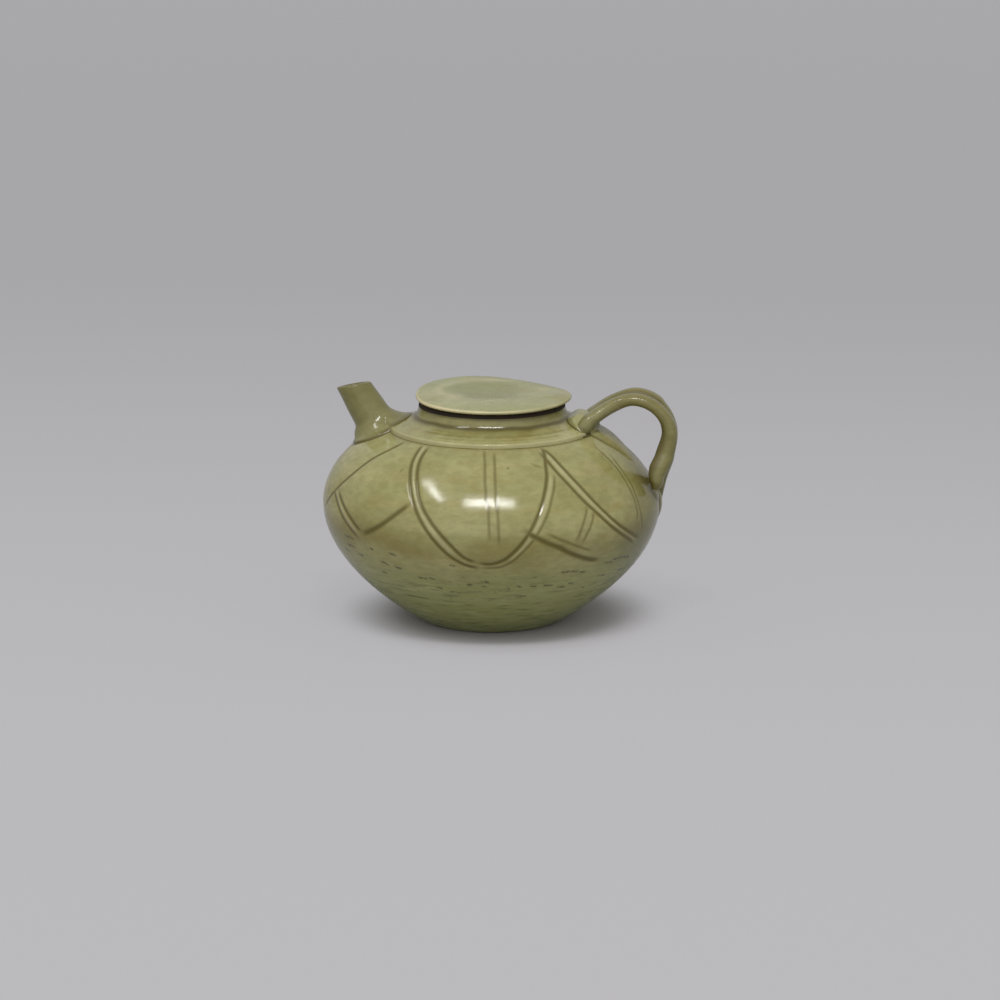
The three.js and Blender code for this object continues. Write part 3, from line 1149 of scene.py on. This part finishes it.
        # Under the handle's arch, above its lower root, the glaze is browner: partly pooled glaze,
        # partly painted shade from the handle.
        by_handle = hump(bearing_of(points), 84.0, 9.0) * hump(height, 67.0, 6.5)
        for where, depth in ((by_spout, 0.9 * hump(seam, 0.0, 0.9)),
                             (outer & (height > 82.0), ledge_shade), (outer, 0.55 * by_handle)):
            pool = np.maximum(pool, np.where(where, depth, 0.0))
        rings = self.ring_depth * np.sin(height * 1.9 + 1.3 * np.sin(height * 0.31)) \
            * smooth_step(2.0, 12.0, height) * smooth_step(46.0, 36.0, height)
        dent = self.dent_depth * (ripple(points, 42.0, 3.1) * 0.5 + 0.5) \
            * smooth_step(2.0, 14.0, height) + POT.give(turn, height)
        move = np.where(outer, -sink - self.inset + rings - dent, 0.0)
        points += (move * out)[:, None] * sideways
        points[:, 2] += move * up
        put(bm, points + swell)
        store(bm, pool=pool, lean=lean, iron=iron, bare=(points[:, 2] < 1.0) & (radius < 31.6))

    def build(self) -> bpy.types.Object:
        """Makes the glazed vessel.

        Returns:
            The piece that stands for the CAD body.
        """
        bm = self.hollow(thrown(self.outline(), self.columns))
        self.refine(bm)
        self.carve(bm)
        return finish_piece(bm, "thrown_body", BELLY_GLAZE.make(), Body.POT, ["body"])


@dataclass
class ShoulderCollar:
    """The sloping plate and low neck, luted on inside the ledge."""

    steps: int = 256
    # Above this height the rim gets the near-black painted shadow of the gap under the lid.
    shadow_above: float = 95.6

    def build(self) -> bpy.types.Object:
        """Makes the collar.

        Returns:
            The piece that stands for the CAD collar.
        """
        outer = POT.collar(24)
        inner = np.array([
            (29.7, 97.6), (29.0, 97.2), (28.5, 96.4), (28.4, 95.0), (28.4, 92.6), (29.2, 91.2),
            (31.6, 89.2), (35.0, 87.6), (36.0, 86.4), (40.0, 85.2), (44.7, 84.6), (45.25, 84.9)])
        bm = thrown(np.vstack([outer, inner]), self.steps)
        points = places(bm)
        radius = radius_of(points)
        plate = smooth_step(34.5, 36.5, radius) * smooth_step(44.4, 43.0, radius) \
            * (points[:, 2] > 87.0)
        points[:, 2] += plate * (0.05 * np.sin(radius * 2.1) - 0.05) \
            + plate * 0.18 * (ripple(points, 18.0, 7.3) - 0.6)
        put(bm, points)
        height = points[:, 2]
        # Pooled glaze and painted shade: the groove and the neck's foot get both; the neck wall
        # gets painted shade from the lid above, most towards the top; the rut is pooled glaze on
        # the plate.
        groove = 0.95 * hump(height - 0.3 * ripple(points, 9.0, 6.1), 91.5, 1.1)
        foot = 0.25 * hump(radius, 35.4, 1.6)
        wall = 0.3 * smooth_step(91.8, 92.8, height) + 0.4 * smooth_step(94.2, 95.6, height)
        rut = 0.2 * hump(radius, 38.8, 1.6)
        pool = np.clip(np.maximum(groove, foot + wall) + rut, 0.0, 0.95)
        store(bm, pool=np.where((height > 87.0) & (radius > 30.0), pool, 0.0),
              lean=0.35 * smooth_step(43.6, 44.8, radius))
        piece = finish_piece(bm, "shoulder_collar_glazed", COLLAR_GLAZE.make(), Body.POT,
                             ["shoulder_collar"])
        # The top of the rim gets the near-black painted shadow of the gap under the lid.
        piece.data.materials.append(RIM_SHADOW.make())
        for polygon in piece.data.polygons:
            if polygon.center.z > self.shadow_above * MM:
                polygon.material_index = 1
        return piece


@dataclass
class Spout:
    """The short leaning tube with its flared skirt, luted on over the body's hole."""

    length: float = 22.5
    tip_radius: float = 7.25
    bore_radius: float = 4.4
    bore_end: float = -5.0
    mouth_rise: float = 11.0
    mouth_turn: float = 6.0
    lip_height: float = 0.9
    skirt_radius: float = 16.2
    outer_skirt: float = 13.4
    stem_radius: float = 8.3
    stem_start: float = 7.5
    columns: int = 128
    rows: int = 96

    def ground(self, reach: Array, turn: Array) -> Array:
        """How far along the spout's axis the pot's surface lies.

        Args:
            reach: Distances from the axis.
            turn: Angles round it, from the inner side.

        Returns:
            Distances along the axis from the root, negative below it.
        """
        start = np.array(AXIS.root) + AXIS.aside(turn) * reach[:, None]
        highest, lowest, step = 8.0, -14.0, 0.1
        found = np.full(len(reach), lowest)
        open_still = np.ones(len(reach), bool)
        for t in np.arange(highest, lowest, -step):
            spot = start + AXIS.along * t
            inside = spot[:, 2] < POT.top_under(spot)
            found[inside & open_still] = t
            open_still &= ~inside
        return found

    def mouth(self, reach: Array, turn: Array) -> Array:
        """How far along the axis the slanting mouth lies.

        Args:
            reach: Distances from the axis.
            turn: Angles round it.

        Returns:
            Distances along the axis.
        """
        slope = math.tan(math.radians(self.mouth_rise))
        inner, along = AXIS.inner, AXIS.along
        fall = (inner[2] - slope * inner[0]) / (along[2] - slope * along[0])
        towards_back = math.tan(math.radians(self.mouth_turn))
        return self.length - reach * (np.cos(turn) * fall + np.sin(turn) * towards_back)

    def place(self, around: Array, up: Array) -> Array:
        """Points of the spout's skin from its skirt over the lip and down the bore.

        Args:
            around: Fractions round it.
            up: Fractions along the skin.

        Returns:
            The points.
        """
        turn = around * math.tau
        skirt, stem, lip = 0.34, 0.68, 0.78
        foot = [(self.skirt_radius, -0.9), (16.1, -0.1), (15.8, 0.45), (15.2, 0.75), (13.4, 1.45),
                (11.6, 2.7), (10.2, 4.2), (9.1, 6.2), (8.55, 8.0), (self.stem_radius, 9.7)]
        curve = sampled(through(foot, 0.2), np.clip(up / skirt, 0.0, 1.0))
        outer_side = np.clip(-np.cos(turn), 0.0, 1.0) ** 2 \
            * (1.0 - self.outer_skirt / self.skirt_radius)
        reach = curve[:, 0] * (1.0 - outer_side * smooth_step(9.0, 15.0, curve[:, 0]))
        settle = smooth_step(0.45, 1.0, up / skirt)
        height = self.settled(reach, turn) * (1 - settle) - 2.2 * settle + curve[:, 1]
        in_stem = np.clip((up - skirt) / (stem - skirt), 0.0, 1.0)
        taper = np.interp(in_stem, [0.0, 0.38, 0.75, 1.0],
                          [self.stem_radius, 8.0, 7.5, self.tip_radius])
        end = self.mouth(taper, turn) - self.lip_height
        roll = np.clip((up - stem) / (lip - stem), 0.0, 1.0) * math.pi
        thick = (self.tip_radius - self.bore_radius) / 2
        over = self.bore_radius + thick + thick * np.cos(roll)
        top = self.mouth(np.full(len(up), self.bore_radius), turn) - self.lip_height
        for begun, there, level in (
            (up > skirt, taper, self.stem_start + (end - self.stem_start) * in_stem),
            (up > stem, over, self.mouth(over, turn) - self.lip_height
             + self.lip_height * np.sin(roll)),
            (up > lip, over, top + (self.bore_end - top)
             * np.clip((up - lip) / (1.0 - lip), 0.0, 1.0)),
        ):
            reach, height = np.where(begun, there, reach), np.where(begun, level, height)
        return np.array(AXIS.root) + AXIS.aside(turn) * reach[:, None] \
            + np.outer(height, AXIS.along)

    def settled(self, reach: Array, turn: Array) -> Array:
        """The same as ground, but quick for many points, from a table.

        Args:
            reach: Distances from the axis.
            turn: Angles round it, from the inner side.

        Returns:
            Distances along the axis.
        """
        near, far, rings = 7.5, 16.5, 14
        turns = np.linspace(0.0, math.tau, 97)
        table = np.array([self.ground(np.full(len(turns), each), turns)
                          for each in np.linspace(near, far, rings)])
        column = np.clip((reach - near) / (far - near) * (rings - 1), 0.0, rings - 1.001)
        low = column.astype(int)
        return np.array([
            (1 - p) * np.interp(t, turns, table[i]) + p * np.interp(t, turns, table[i + 1])
            for t, i, p in zip(turn, low, column - low)])

    def build(self) -> bpy.types.Object:
        """Makes the spout.

        Returns:
            The piece that stands for the CAD spout.
        """
        bm = wrapped(self.columns, self.rows, self.place)
        points = places(bm)
        away = AXIS.distance(points)
        along = (points - np.array(AXIS.root)) @ AXIS.along
        foot = smooth_step(1.6, 0.3, points[:, 2] - POT.top_under(points)) * (away > 8.0)
        inwards = (points - np.array(AXIS.root)) @ AXIS.inner
        turn = np.arctan2(points[:, 1], inwards)
        below = self.mouth(away, turn) - along
        # The lip's edge is browner with pooled glaze; the lip's inner edge and the bore beyond 10
        # mm along the axis are darkened with painted shade.
        lip = 0.35 * smooth_step(1.5, 0.4, below) + 0.7 * (away < 4.9) * (along > 10.0)
        points += (ripple(points, 11.0, 5.0) * 0.12 * (away < 12.0))[:, None] \
            * np.array([0.4, 0.9, 0.0])
        put(bm, points)
        store(bm, pool=np.clip(0.9 * foot + lip, 0.0, 1.0))
        return finish_piece(bm, "spout_glazed", SPOUT_GLAZE.make(), Body.POT,
                            ["spout"])


class Side(Enum):
    """The two strands of the handle: which way each lies from the middle."""

    FRONT = -1
    BACK = 1


@dataclass
class Handle:
    """Two strands of rolled clay side by side, and the wads that root them."""

    top: float = 101.3
    outermost: float = 79.4
    width: float = 8.4
    gap: float = 0.1
    cap: float = 0.03
    squarish: float = 0.86
    columns: int = 40
    rows: int = 200

    def route(self, side: Side) -> Array:
        """Middle line of one strand, from under the plate over the top to the belly.

        Args:
            side: Which strand.

        Returns:
            Points about half a millimetre apart.
        """
        apart = self.width / 2 + self.gap
        top, out = self.top, self.outermost
        tail = {
            Side.FRONT: [(75.6, 5.0, 70.6), (74.5, 7.2, 66.0), (73.7, 8.0, 62.2)],
            Side.BACK: [(76.3, 3.6, 69.5), (74.4, 5.2, 62.5), (73.4, 5.7, 56.0),
                        (72.6, 5.7, 50.0), (71.6, 5.6, 46.8)],
        }
        knots = [
            (40.0, 3.6, 86.6), (46.0, 2.2, 92.7), (54.0, 0.2, top - 2.9), (63.5, 0.0, top),
            (out - 6.2, 0.0, top - 3.6), (out, 0.0, top - 14.5), (78.0, 1.2, top - 25.2),
            *tail[side],
        ]
        lower = {Side.FRONT: 0.75, Side.BACK: 0.2}[side]
        route = through([(x, side.value * (apart + y), z) for x, y, z in knots], 0.5)
        route[:, 2] -= lower * smooth_step(90.0, 98.0, route[:, 2])
        inwards = {Side.FRONT: 0.9 * smooth_step(64.0, 69.0, route[:, 2])
                   * smooth_step(93.0, 78.0, route[:, 2]),
                   Side.BACK: 0.7 * smooth_step(72.0, 80.0, route[:, 2])}[side]
        route[:, 0] -= inwards * smooth_step(72.0, 75.0, route[:, 0])
        return route

    def strand(self, side: Side) -> bmesh.types.BMesh:
        """One strand.

        Args:
            side: Which strand.

        Returns:
            Its closed mesh.
        """
        line = self.route(side)
        length = lengths_along(line)[-1]
        run = lengths_along(line) / length
        slope = np.gradient(line, axis=0)
        slope /= np.linalg.norm(slope, axis=1, keepdims=True)

        def place(around: Array, up: Array) -> Array:
            """Points of the strand's skin."""
            fraction = np.clip((up - self.cap) / (1.0 - 2.0 * self.cap), 0.0, 1.0)
            middle, forward = (np.stack([np.interp(fraction, run, column)
                                         for column in rows.T], axis=1) for rows in (line, slope))
            across = np.array([0.0, 1.0, 0.0]) - forward * forward[:, 1:2]
            across /= np.linalg.norm(across, axis=1, keepdims=True)
            outside = np.cross(forward, across)
            gone = fraction * length
            left = length - gone
            half = np.interp(gone, [0, 5, 12, 22], [6.0, 5.8, 5.0, 4.2])
            deep = np.interp(gone, [0, 4, 9, 16], [4.3, 3.7, 3.1, 3.0])
            if side is Side.FRONT:
                deep *= np.interp(gone, [18, 26, 44, 60], [1.0, 0.9, 0.92, 1.12])
                half *= np.interp(left, [0, 3, 9, 14], [0.35, 0.72, 1.0, 1.05])
                deep *= np.interp(left, [0, 3, 9, 16, 26, 36], [0.42, 0.85, 1.2, 1.22, 1.14, 1.0])
            else:
                half *= np.interp(left, [0, 5, 18, 26], [0.4, 0.7, 0.85, 1.0])
                deep *= np.interp(left, [0, 5, 14, 26], [0.3, 0.55, 0.8, 1.0])
            ends = np.clip(np.minimum(up / self.cap, (1.0 - up) / self.cap), 0.0, 1.0)
            closed = np.sqrt(np.clip(1.0 - (1.0 - ends) ** 2, 0.0, 1.0))
            turn = around * math.tau
            wide, thick = (np.sign(wave) * np.abs(wave) ** self.squarish
                           for wave in (np.cos(turn), np.sin(turn)))
            points = middle + across * (half * closed * wide)[:, None] \
                + outside * (deep * closed * thick)[:, None]
            points[:, 1] = np.maximum(points[:, 1] * side.value, 0.12) * side.value
            return points

        bm = wrapped(self.columns, self.rows, place)
        points = places(bm)
        tallest = int(np.argmax(line[:, 2]))
        points += np.stack([ripple(points, 9.0, 1.0 + i) * 0.13 for i in range(3)], axis=1)
        points[:, 1] = np.maximum(points[:, 1] * side.value, 0.05) * side.value
        put(bm, points)
        # Painted shade goes into the pooled-glaze layer here: in the groove between the strands,
        # where they come down to the plate, low on the strands and on the inner side of the falling
        # part. The dull layer only makes the groove, that inner side and the bend rougher.
        inner = hump(points[:, 1], 0.0, 1.6)
        above = points[:, 2] - POT.top(radius_of(points))
        ground = smooth_step(4.0, 0.3, above) * (points[:, 2] > 80.0)
        low = smooth_step(69.0, 62.0, points[:, 2]) * smooth_step(77.0, 74.0, points[:, 0])
        falling = line[tallest:][::-1]
        middle = np.interp(points[:, 2], falling[:, 2], falling[:, 0])
        shaded = smooth_step(0.2, -2.4, points[:, 0] - middle) * (points[:, 0] > 66.0) \
            * smooth_step(95.0, 88.0, points[:, 2])
        bend = smooth_step(87.0, 81.0, points[:, 2]) * smooth_step(66.0, 70.0, points[:, 2])
        store(bm, pool=np.clip(0.95 * inner + 0.6 * ground + 0.55 * low + 0.75 * shaded, 0.0, 1.0),
              dull=np.clip(inner + 0.8 * shaded + 0.7 * bend, 0.0, 1.0))
        return bm

    def wad(self, middle: float, half_length: float, half_width: float,
            lift: Callable[[Array, Array], Array], dark: float,
            faded: float = 1.0) -> bmesh.types.BMesh:
        """A lump of clay pressed onto the pot under the handle.

        Args:
            middle: Where it lies along the pot's outline.
            half_length: Half its length along the outline.
            half_width: Half its width across.
            lift: Height above the pot at distances along and across from its middle.
            dark: How dark its edge is made where it meets the pot, with pooled glaze and painted
                shade.
            faded: The share of that which is left at the lower end.

        Returns:
            Its closed mesh.
        """
        bm = bmesh.new()
        bmesh.ops.create_icosphere(bm, subdivisions=6, radius=1.0)
        ball = places(bm)
        along = ball[:, 0] * half_length
        across = ball[:, 1] * half_width
        above = np.where(ball[:, 2] > 0, lift(along, across) * np.clip(ball[:, 2] * 5.0, 0, 1)
                         - 0.8, -0.8 + ball[:, 2] * 1.2)
        put(bm, POT.patch(middle + along, across, above))
        left = faded + (1.0 - faded) * smooth_step(-0.5, 0.5, ball[:, 0])
        # Pooled glaze and painted shade darken the edge where the wad meets the pot.
        store(bm, pool=dark * left * smooth_step(0.9, 0.0, above))
        return bm

    def upper_wad(self) -> bmesh.types.BMesh:
        """The thumbed wad at the strands' upper root, with its smear down the shoulder.

        Returns:
            Its closed mesh.
        """
        middle = POT.along_at_radius(53.5)
        crest = POT.along_at_radius(40.0) - middle

        def lift(along: Array, across: Array) -> Array:
            """Height of the lump and of its smear."""
            lump = 5.4 * np.exp(-((along - crest) / 5.6) ** 4 - (np.abs(across) / 13.5) ** 4)
            down = (crest - along - 5.0) / 29.0
            width = np.interp(down, [0.0, 0.35, 0.7, 1.0], [10.5, 10.5, 6.5, 3.5])
            smear = np.interp(down, [0.0, 0.4, 1.0], [3.2, 2.6, 0.8]) \
                * smooth_step(-0.3, 0.0, down) * smooth_step(1.05, 0.75, down) \
                * np.exp(-(np.abs(across) / width) ** 6)
            return np.maximum(lump, smear) + 0.25 * np.minimum(lump, smear)

        return self.wad(middle, 25.0, 18.0, lift, 0.9, 0.1)

    def lower_wad(self) -> bmesh.types.BMesh:
        """The flattened wad behind the strands' lower ends, with its tail down the belly.

        Returns:
            Its closed mesh.
        """
        middle = POT.along_at_height(58.0)

        def lift(along: Array, across: Array) -> Array:
            """Height of the lump and of its tail."""
            lump = 1.4 * np.exp(-(((along - 3.0) / 7.2) ** 2 + (across / 9.2) ** 2) ** 1.6)
            tail = 1.7 * np.exp(-(((along + 3.0) / 10.2) ** 2
                                  + ((across - 6.0) / 5.4) ** 2) ** 1.6)
            return np.maximum(lump, tail)

        return self.wad(middle, 15.5, 12.0, lift, 0.75)

    def build(self) -> list[bpy.types.Object]:
        """Makes the strands and wads.

        Returns:
            The pieces that stand for the CAD handle.
        """
        on_strands, on_wads = HANDLE_GLAZE.make(), WAD_GLAZE.make()
        parts = {
            "handle_front_strand": self.strand(Side.FRONT),
            "handle_back_strand": self.strand(Side.BACK),
            "handle_upper_pad": self.upper_wad(),
            "handle_lower_pad": self.lower_wad(),
        }
        return [finish_piece(bm, name + "_glazed", on_wads if "pad" in name else on_strands,
                             Body.POT, [name])
                for name, bm in parts.items()]


@dataclass
class Lid:
    """The flat lid and the ring under it that keeps it in the neck."""

    radius: float = 34.5
    seat: float = 97.7
    shift: float = 0.8
    hinge: float = 32.4
    tilt: float = 1.7
    steps: int = 256
    flange_steps: int = 160

    def settle(self, points: Array) -> Array:
        """Lays the lid on the neck, tilted about the front of the rim.

        Args:
            points: Points with the lid's underside at zero.

        Returns:
            The points on the pot.
        """
        turn = math.radians(self.tilt)
        back = points[:, 1] + self.hinge
        tilted = points.copy()
        tilted[:, 1] = back * math.cos(turn) - points[:, 2] * math.sin(turn) - self.hinge
        tilted[:, 2] = back * math.sin(turn) + points[:, 2] * math.cos(turn) + self.seat
        tilted[:, 0] += self.shift
        return tilted

    def warp(self, points: Array) -> Array:
        """How far the fired disc has warped.

        Args:
            points: Points before they are settled.

        Returns:
            Rise of each point.
        """
        out = radius_of(points) / self.radius
        turn = turn_of(points)
        rise = -1.8 * np.sin(2 * turn) * ((1 + np.sin(turn)) / 2) ** 2
        left = np.mod(np.degrees(turn), 360.0) - 168.0
        return (rise + 1.2 * hump(left, 0.0, 26.0)) * out ** 2.5

    def disc(self) -> bpy.types.Object:
        """Makes the disc.

        Returns:
            The piece that stands for the CAD disc.
        """
        rim = [(33.0, 0.0), (33.6, 0.12), (34.1, 0.38), (34.4, 0.75), (34.42, 1.1),
               (34.2, 1.45), (33.8, 1.66), (33.2, 1.82)]
        top = through([(33.2, 1.82), (30.5, 2.2), (27.0, 2.62), (23.0, 2.86), (19.0, 2.9),
                       (15.0, 2.62), (11.0, 2.1), (7.0, 1.72), (3.0, 1.56), (0.0, 1.55)], 0.8)
        under = np.column_stack([np.linspace(0.0, 32.0, 18), np.zeros(18)])
        bm = thrown(np.vstack([under, rim, top[1:]]), self.steps)
        points = places(bm)
        out = radius_of(points)
        above = points[:, 2] > 1.5
        lumps = ripple(points, 9.0, 2.2) * 0.26 + 0.05 * np.sin(out * 1.7)
        points[:, 2] += np.where(above, lumps * smooth_step(34.0, 31.0, out), 0.0)
        points[:, 2] += self.warp(points)
        rough = ripple(points, 9.0, 4.0)
        inside = np.hypot(points[:, 0] + 3.0, points[:, 1] - 3.0) + 4.0 * rough
        pool = np.where(above, 0.5 * smooth_step(18.5, 12.0, inside), 0.0)
        lean = np.clip(0.25 + 0.5 * ripple(points, 13.0, 8.0), 0.0, 0.4) \
            * hump(inside, 20.5, 3.0) * above
        # The rim is paler at the front and left than at the back and right: partly thin glaze,
        # partly a painted highlight where the lamps glint on it.
        thin_and_highlit_by_bearing = np.interp(bearing_of(points), [-180, -120, -70, -5, 30, 70, 120, 180],
                              [0.3, 0.3, 0.75, 0.85, 0.35, 0.1, 0.2, 0.3])
        flat = points[:, 2] - self.warp(points)
        thin_and_highlit_rim = np.clip(thin_and_highlit_by_bearing + 0.3 * rough, 0.0, 1.0) \
            * smooth_step(33.2, 34.0, out) * (flat > 0.2)
        put(bm, self.settle(points))
        store(bm, pool=pool, lean=np.maximum(lean, thin_and_highlit_rim), bare=(flat < 0.2) & (out < 33.2))
        return finish_piece(bm, "lid_disc_glazed", LID_GLAZE.make(), Body.LID,
                            ["lid_disc"])

    def flange(self) -> bpy.types.Object:
        """Makes the bare ring.

        Returns:
            The piece that stands for the CAD flange.
        """
        ring = np.array([
            (24.0, 0.25), (24.0, -2.5), (24.05, -5.1), (24.3, -5.7), (24.9, -6.0), (26.0, -6.0),
            (26.6, -5.7), (26.95, -5.0), (27.1, -3.0), (27.2, 0.25), (24.0, 0.25)])
        bm = thrown(through(ring, 0.45), self.flange_steps)
        points = places(bm)
        points[:, 2] += self.warp(points) * smooth_step(-5.0, 0.2, points[:, 2])
        put(bm, self.settle(points))
        close_up(bm)
        return finish_piece(bm, "lid_flange_bare", BareStoneware().make(), Body.LID,
                            ["lid_flange"])

    def build(self) -> list[bpy.types.Object]:
        """Makes the disc and its flange."""
        return [self.disc(), self.flange()]


# The studio


def stand_off(item: bpy.types.Object, bearing: float, elevation: float, distance: float,
              aim: float) -> None:
    """Stands a lamp or a camera in the room and turns it to the pot.

    Args:
        item: The lamp or camera.
        bearing: Its bearing, in degrees.
        elevation: How far it stands above the horizon, in degrees.
        distance: How far away it stands, in metres.
        aim: Height on the pot that it faces, in metres.
    """
    turn, rise = math.radians(bearing), math.radians(elevation)
    away = Vector((math.sin(turn) * math.cos(rise), -math.cos(turn) * math.cos(rise),
                   math.sin(rise)))
    item.location = away * distance + Vector((0, 0, aim))
    item.rotation_euler = away.to_track_quat("Z", "Y").to_euler()
    bpy.context.scene.collection.objects.link(item)


@dataclass
class Softbox:
    """A rectangular studio lamp that faces the pot."""

    name: str
    bearing: float
    elevation: float
    width: float
    height: float
    power: float
    roll: float = 0.0
    distance: float = 3.0
    aim: float = 0.06

    def build(self) -> bpy.types.Object:
        """Hangs the lamp.

        Returns:
            The lamp.
        """
        lamp = bpy.data.lights.new(self.name, "AREA")
        lamp.shape = "RECTANGLE"
        lamp.size = self.width
        lamp.size_y = self.height
        lamp.energy = self.power
        item = bpy.data.objects.new(self.name, lamp)
        stand_off(item, self.bearing, self.elevation, self.distance, self.aim)
        if self.roll:
            item.rotation_euler.rotate_axis("Z", math.radians(self.roll))
        LOG.info("lamp %s, %.1f W", self.name, self.power)
        return item


@dataclass
class Studio:
    """Plain pale floor, soft light and the photograph's camera."""

    floor_size: float = 16.0
    floor_colour: str = "#b9b7bb"
    far_floor_colour: str = "#d4d2d5"
    unseen_floor_colour: str = "#acabad"
    seen_near: str = "#bab9bc"
    seen_far: str = "#a5a4a7"
    room_colour: str = "#fbfaf8"
    room_horizon: float = 0.38
    room_rise: float = 0.30
    room_front: float = 0.56
    shadow_centre: tuple[float, float, float] = (0.005, 0.004, 0.0)
    shadow_start: float = 0.042
    shadow_end: float = 0.080
    shadow_fill: float = 0.8
    camera_distance: float = 1.5
    camera_bearing: float = 8.0
    camera_elevation: float = 13.0
    pixels_per_metre: float = 2250.0
    aim_height: float = 0.050
    camera_shift: tuple[float, float] = (0.008, 0.0054)
    farthest_seen: float = 60.0
    sensor: float = 36.0
    image_width: int = 1000

    def floor(self) -> None:
        """Lays the floor."""
        bm = bmesh.new()
        bmesh.ops.create_grid(bm, x_segments=8, y_segments=8, size=self.floor_size / 2)
        mesh = bpy.data.meshes.new("studio_floor")
        bm.to_mesh(mesh)
        bm.free()
        paint = Painter("Matt studio paper")
        away = paint.add("ShaderNodeVectorMath", {0: paint.where}, operation="LENGTH")
        far = (away.outputs["Value"], Rise(0.3, 4.0))
        seen = paint.lay(self.floor_colour, (self.far_floor_colour, far))
        ray = paint.add("ShaderNodeLightPath").outputs["Is Camera Ray"]
        colour = paint.lay(self.unseen_floor_colour, (seen, ray))
        grain = paint.add("ShaderNodeBump", {
            "Strength": 0.03, "Distance": 0.2 * MM, "Height": paint.cloud(2.0)})
        shader = paint.add("ShaderNodeBsdfDiffuse", {"Color": colour, "Normal": grain.outputs[0]})
        pale = paint.lay(self.seen_near, (self.seen_far, (paint.behind, Rise(-0.3, 1.0))))
        glow = paint.add("ShaderNodeEmission", {"Color": pale, "Strength": 1.0})
        aside = paint.add("ShaderNodeVectorMath", {0: paint.where, 1: self.shadow_centre},
                          operation="DISTANCE")
        open_floor = (aside.outputs["Value"], Rise(self.shadow_start, self.shadow_end,
                                                   0.0, self.shadow_fill))
        both = paint.add("ShaderNodeMixShader", {
            0: paint.mask(ray, open_floor), 1: shader.outputs[0], 2: glow.outputs[0]})
        paint.add("ShaderNodeOutputMaterial", {"Surface": both.outputs[0]})
        mesh.materials.append(paint.material)
        item = bpy.data.objects.new("studio_floor", mesh)
        bpy.context.scene.collection.objects.link(item)

    def world(self) -> None:
        """Fills the room with soft light."""
        world = bpy.data.worlds.new("Soft room")
        world.use_nodes = True
        tree = world.node_tree
        tree.nodes.clear()
        where = node(tree, "ShaderNodeTexCoord").outputs["Generated"]
        axes = node(tree, "ShaderNodeSeparateXYZ", {0: where})
        up = node(tree, "ShaderNodeMath", {0: axes.outputs["Z"], 1: 0.0}, operation="MAXIMUM")
        front = node(tree, "ShaderNodeMath", {0: axes.outputs["Y"], 1: 0.0}, operation="MINIMUM")
        rise = node(tree, "ShaderNodeMath", {
            0: up.outputs[0], 1: self.room_rise, 2: self.room_horizon}, operation="MULTIPLY_ADD")
        strength = node(tree, "ShaderNodeMath", {
            0: front.outputs[0], 1: -self.room_front, 2: rise.outputs[0]},
            operation="MULTIPLY_ADD")
        light = node(tree, "ShaderNodeBackground", {
            "Color": linear(self.room_colour), "Strength": strength.outputs[0]})
        seen = node(tree, "ShaderNodeBackground", {
            "Color": linear(self.floor_colour), "Strength": 1.0})
        ray = node(tree, "ShaderNodeLightPath").outputs["Is Camera Ray"]
        both = node(tree, "ShaderNodeMixShader", {
            0: ray, 1: light.outputs[0], 2: seen.outputs[0]})
        node(tree, "ShaderNodeOutputWorld", {"Surface": both.outputs[0]})
        bpy.context.scene.world = world

    def camera(self) -> bpy.types.Object:
        """Sets up the camera where the photographer stood.

        Returns:
            The camera.
        """
        data = bpy.data.cameras.new("camera")
        data.sensor_width = self.sensor
        frame_width = self.image_width / self.pixels_per_metre
        data.lens = self.sensor * self.camera_distance / frame_width
        data.shift_x, data.shift_y = self.camera_shift
        data.clip_end = self.farthest_seen
        item = bpy.data.objects.new("camera", data)
        stand_off(item, self.camera_bearing, self.camera_elevation, self.camera_distance,
                  self.aim_height)
        bpy.context.scene.camera = item
        return item

    def build(self) -> None:
        """Builds the studio round the pot."""
        self.camera()
        self.floor()
        self.world()
        Softbox("bar_softbox", bearing=5.0, elevation=61.0, width=1.38, height=0.43,
                power=35.0).build()
        strip = Softbox("strip_softbox", bearing=-61.6, elevation=59.8, width=1.10, height=0.13,
                        power=9.5, roll=-13.7).build()
        strip.visible_diffuse = False
        bpy.context.scene.view_settings.view_transform = "Standard"


def main() -> None:
    """Builds the teapot and its studio."""
    Studio().build()
    pieces = [ThrownBody().build(), ShoulderCollar().build(), Spout().build(),
              *Handle().build(), *Lid().build()]
    LOG.info("%d pieces", len(pieces))


if __name__ == "__main__":
    main()
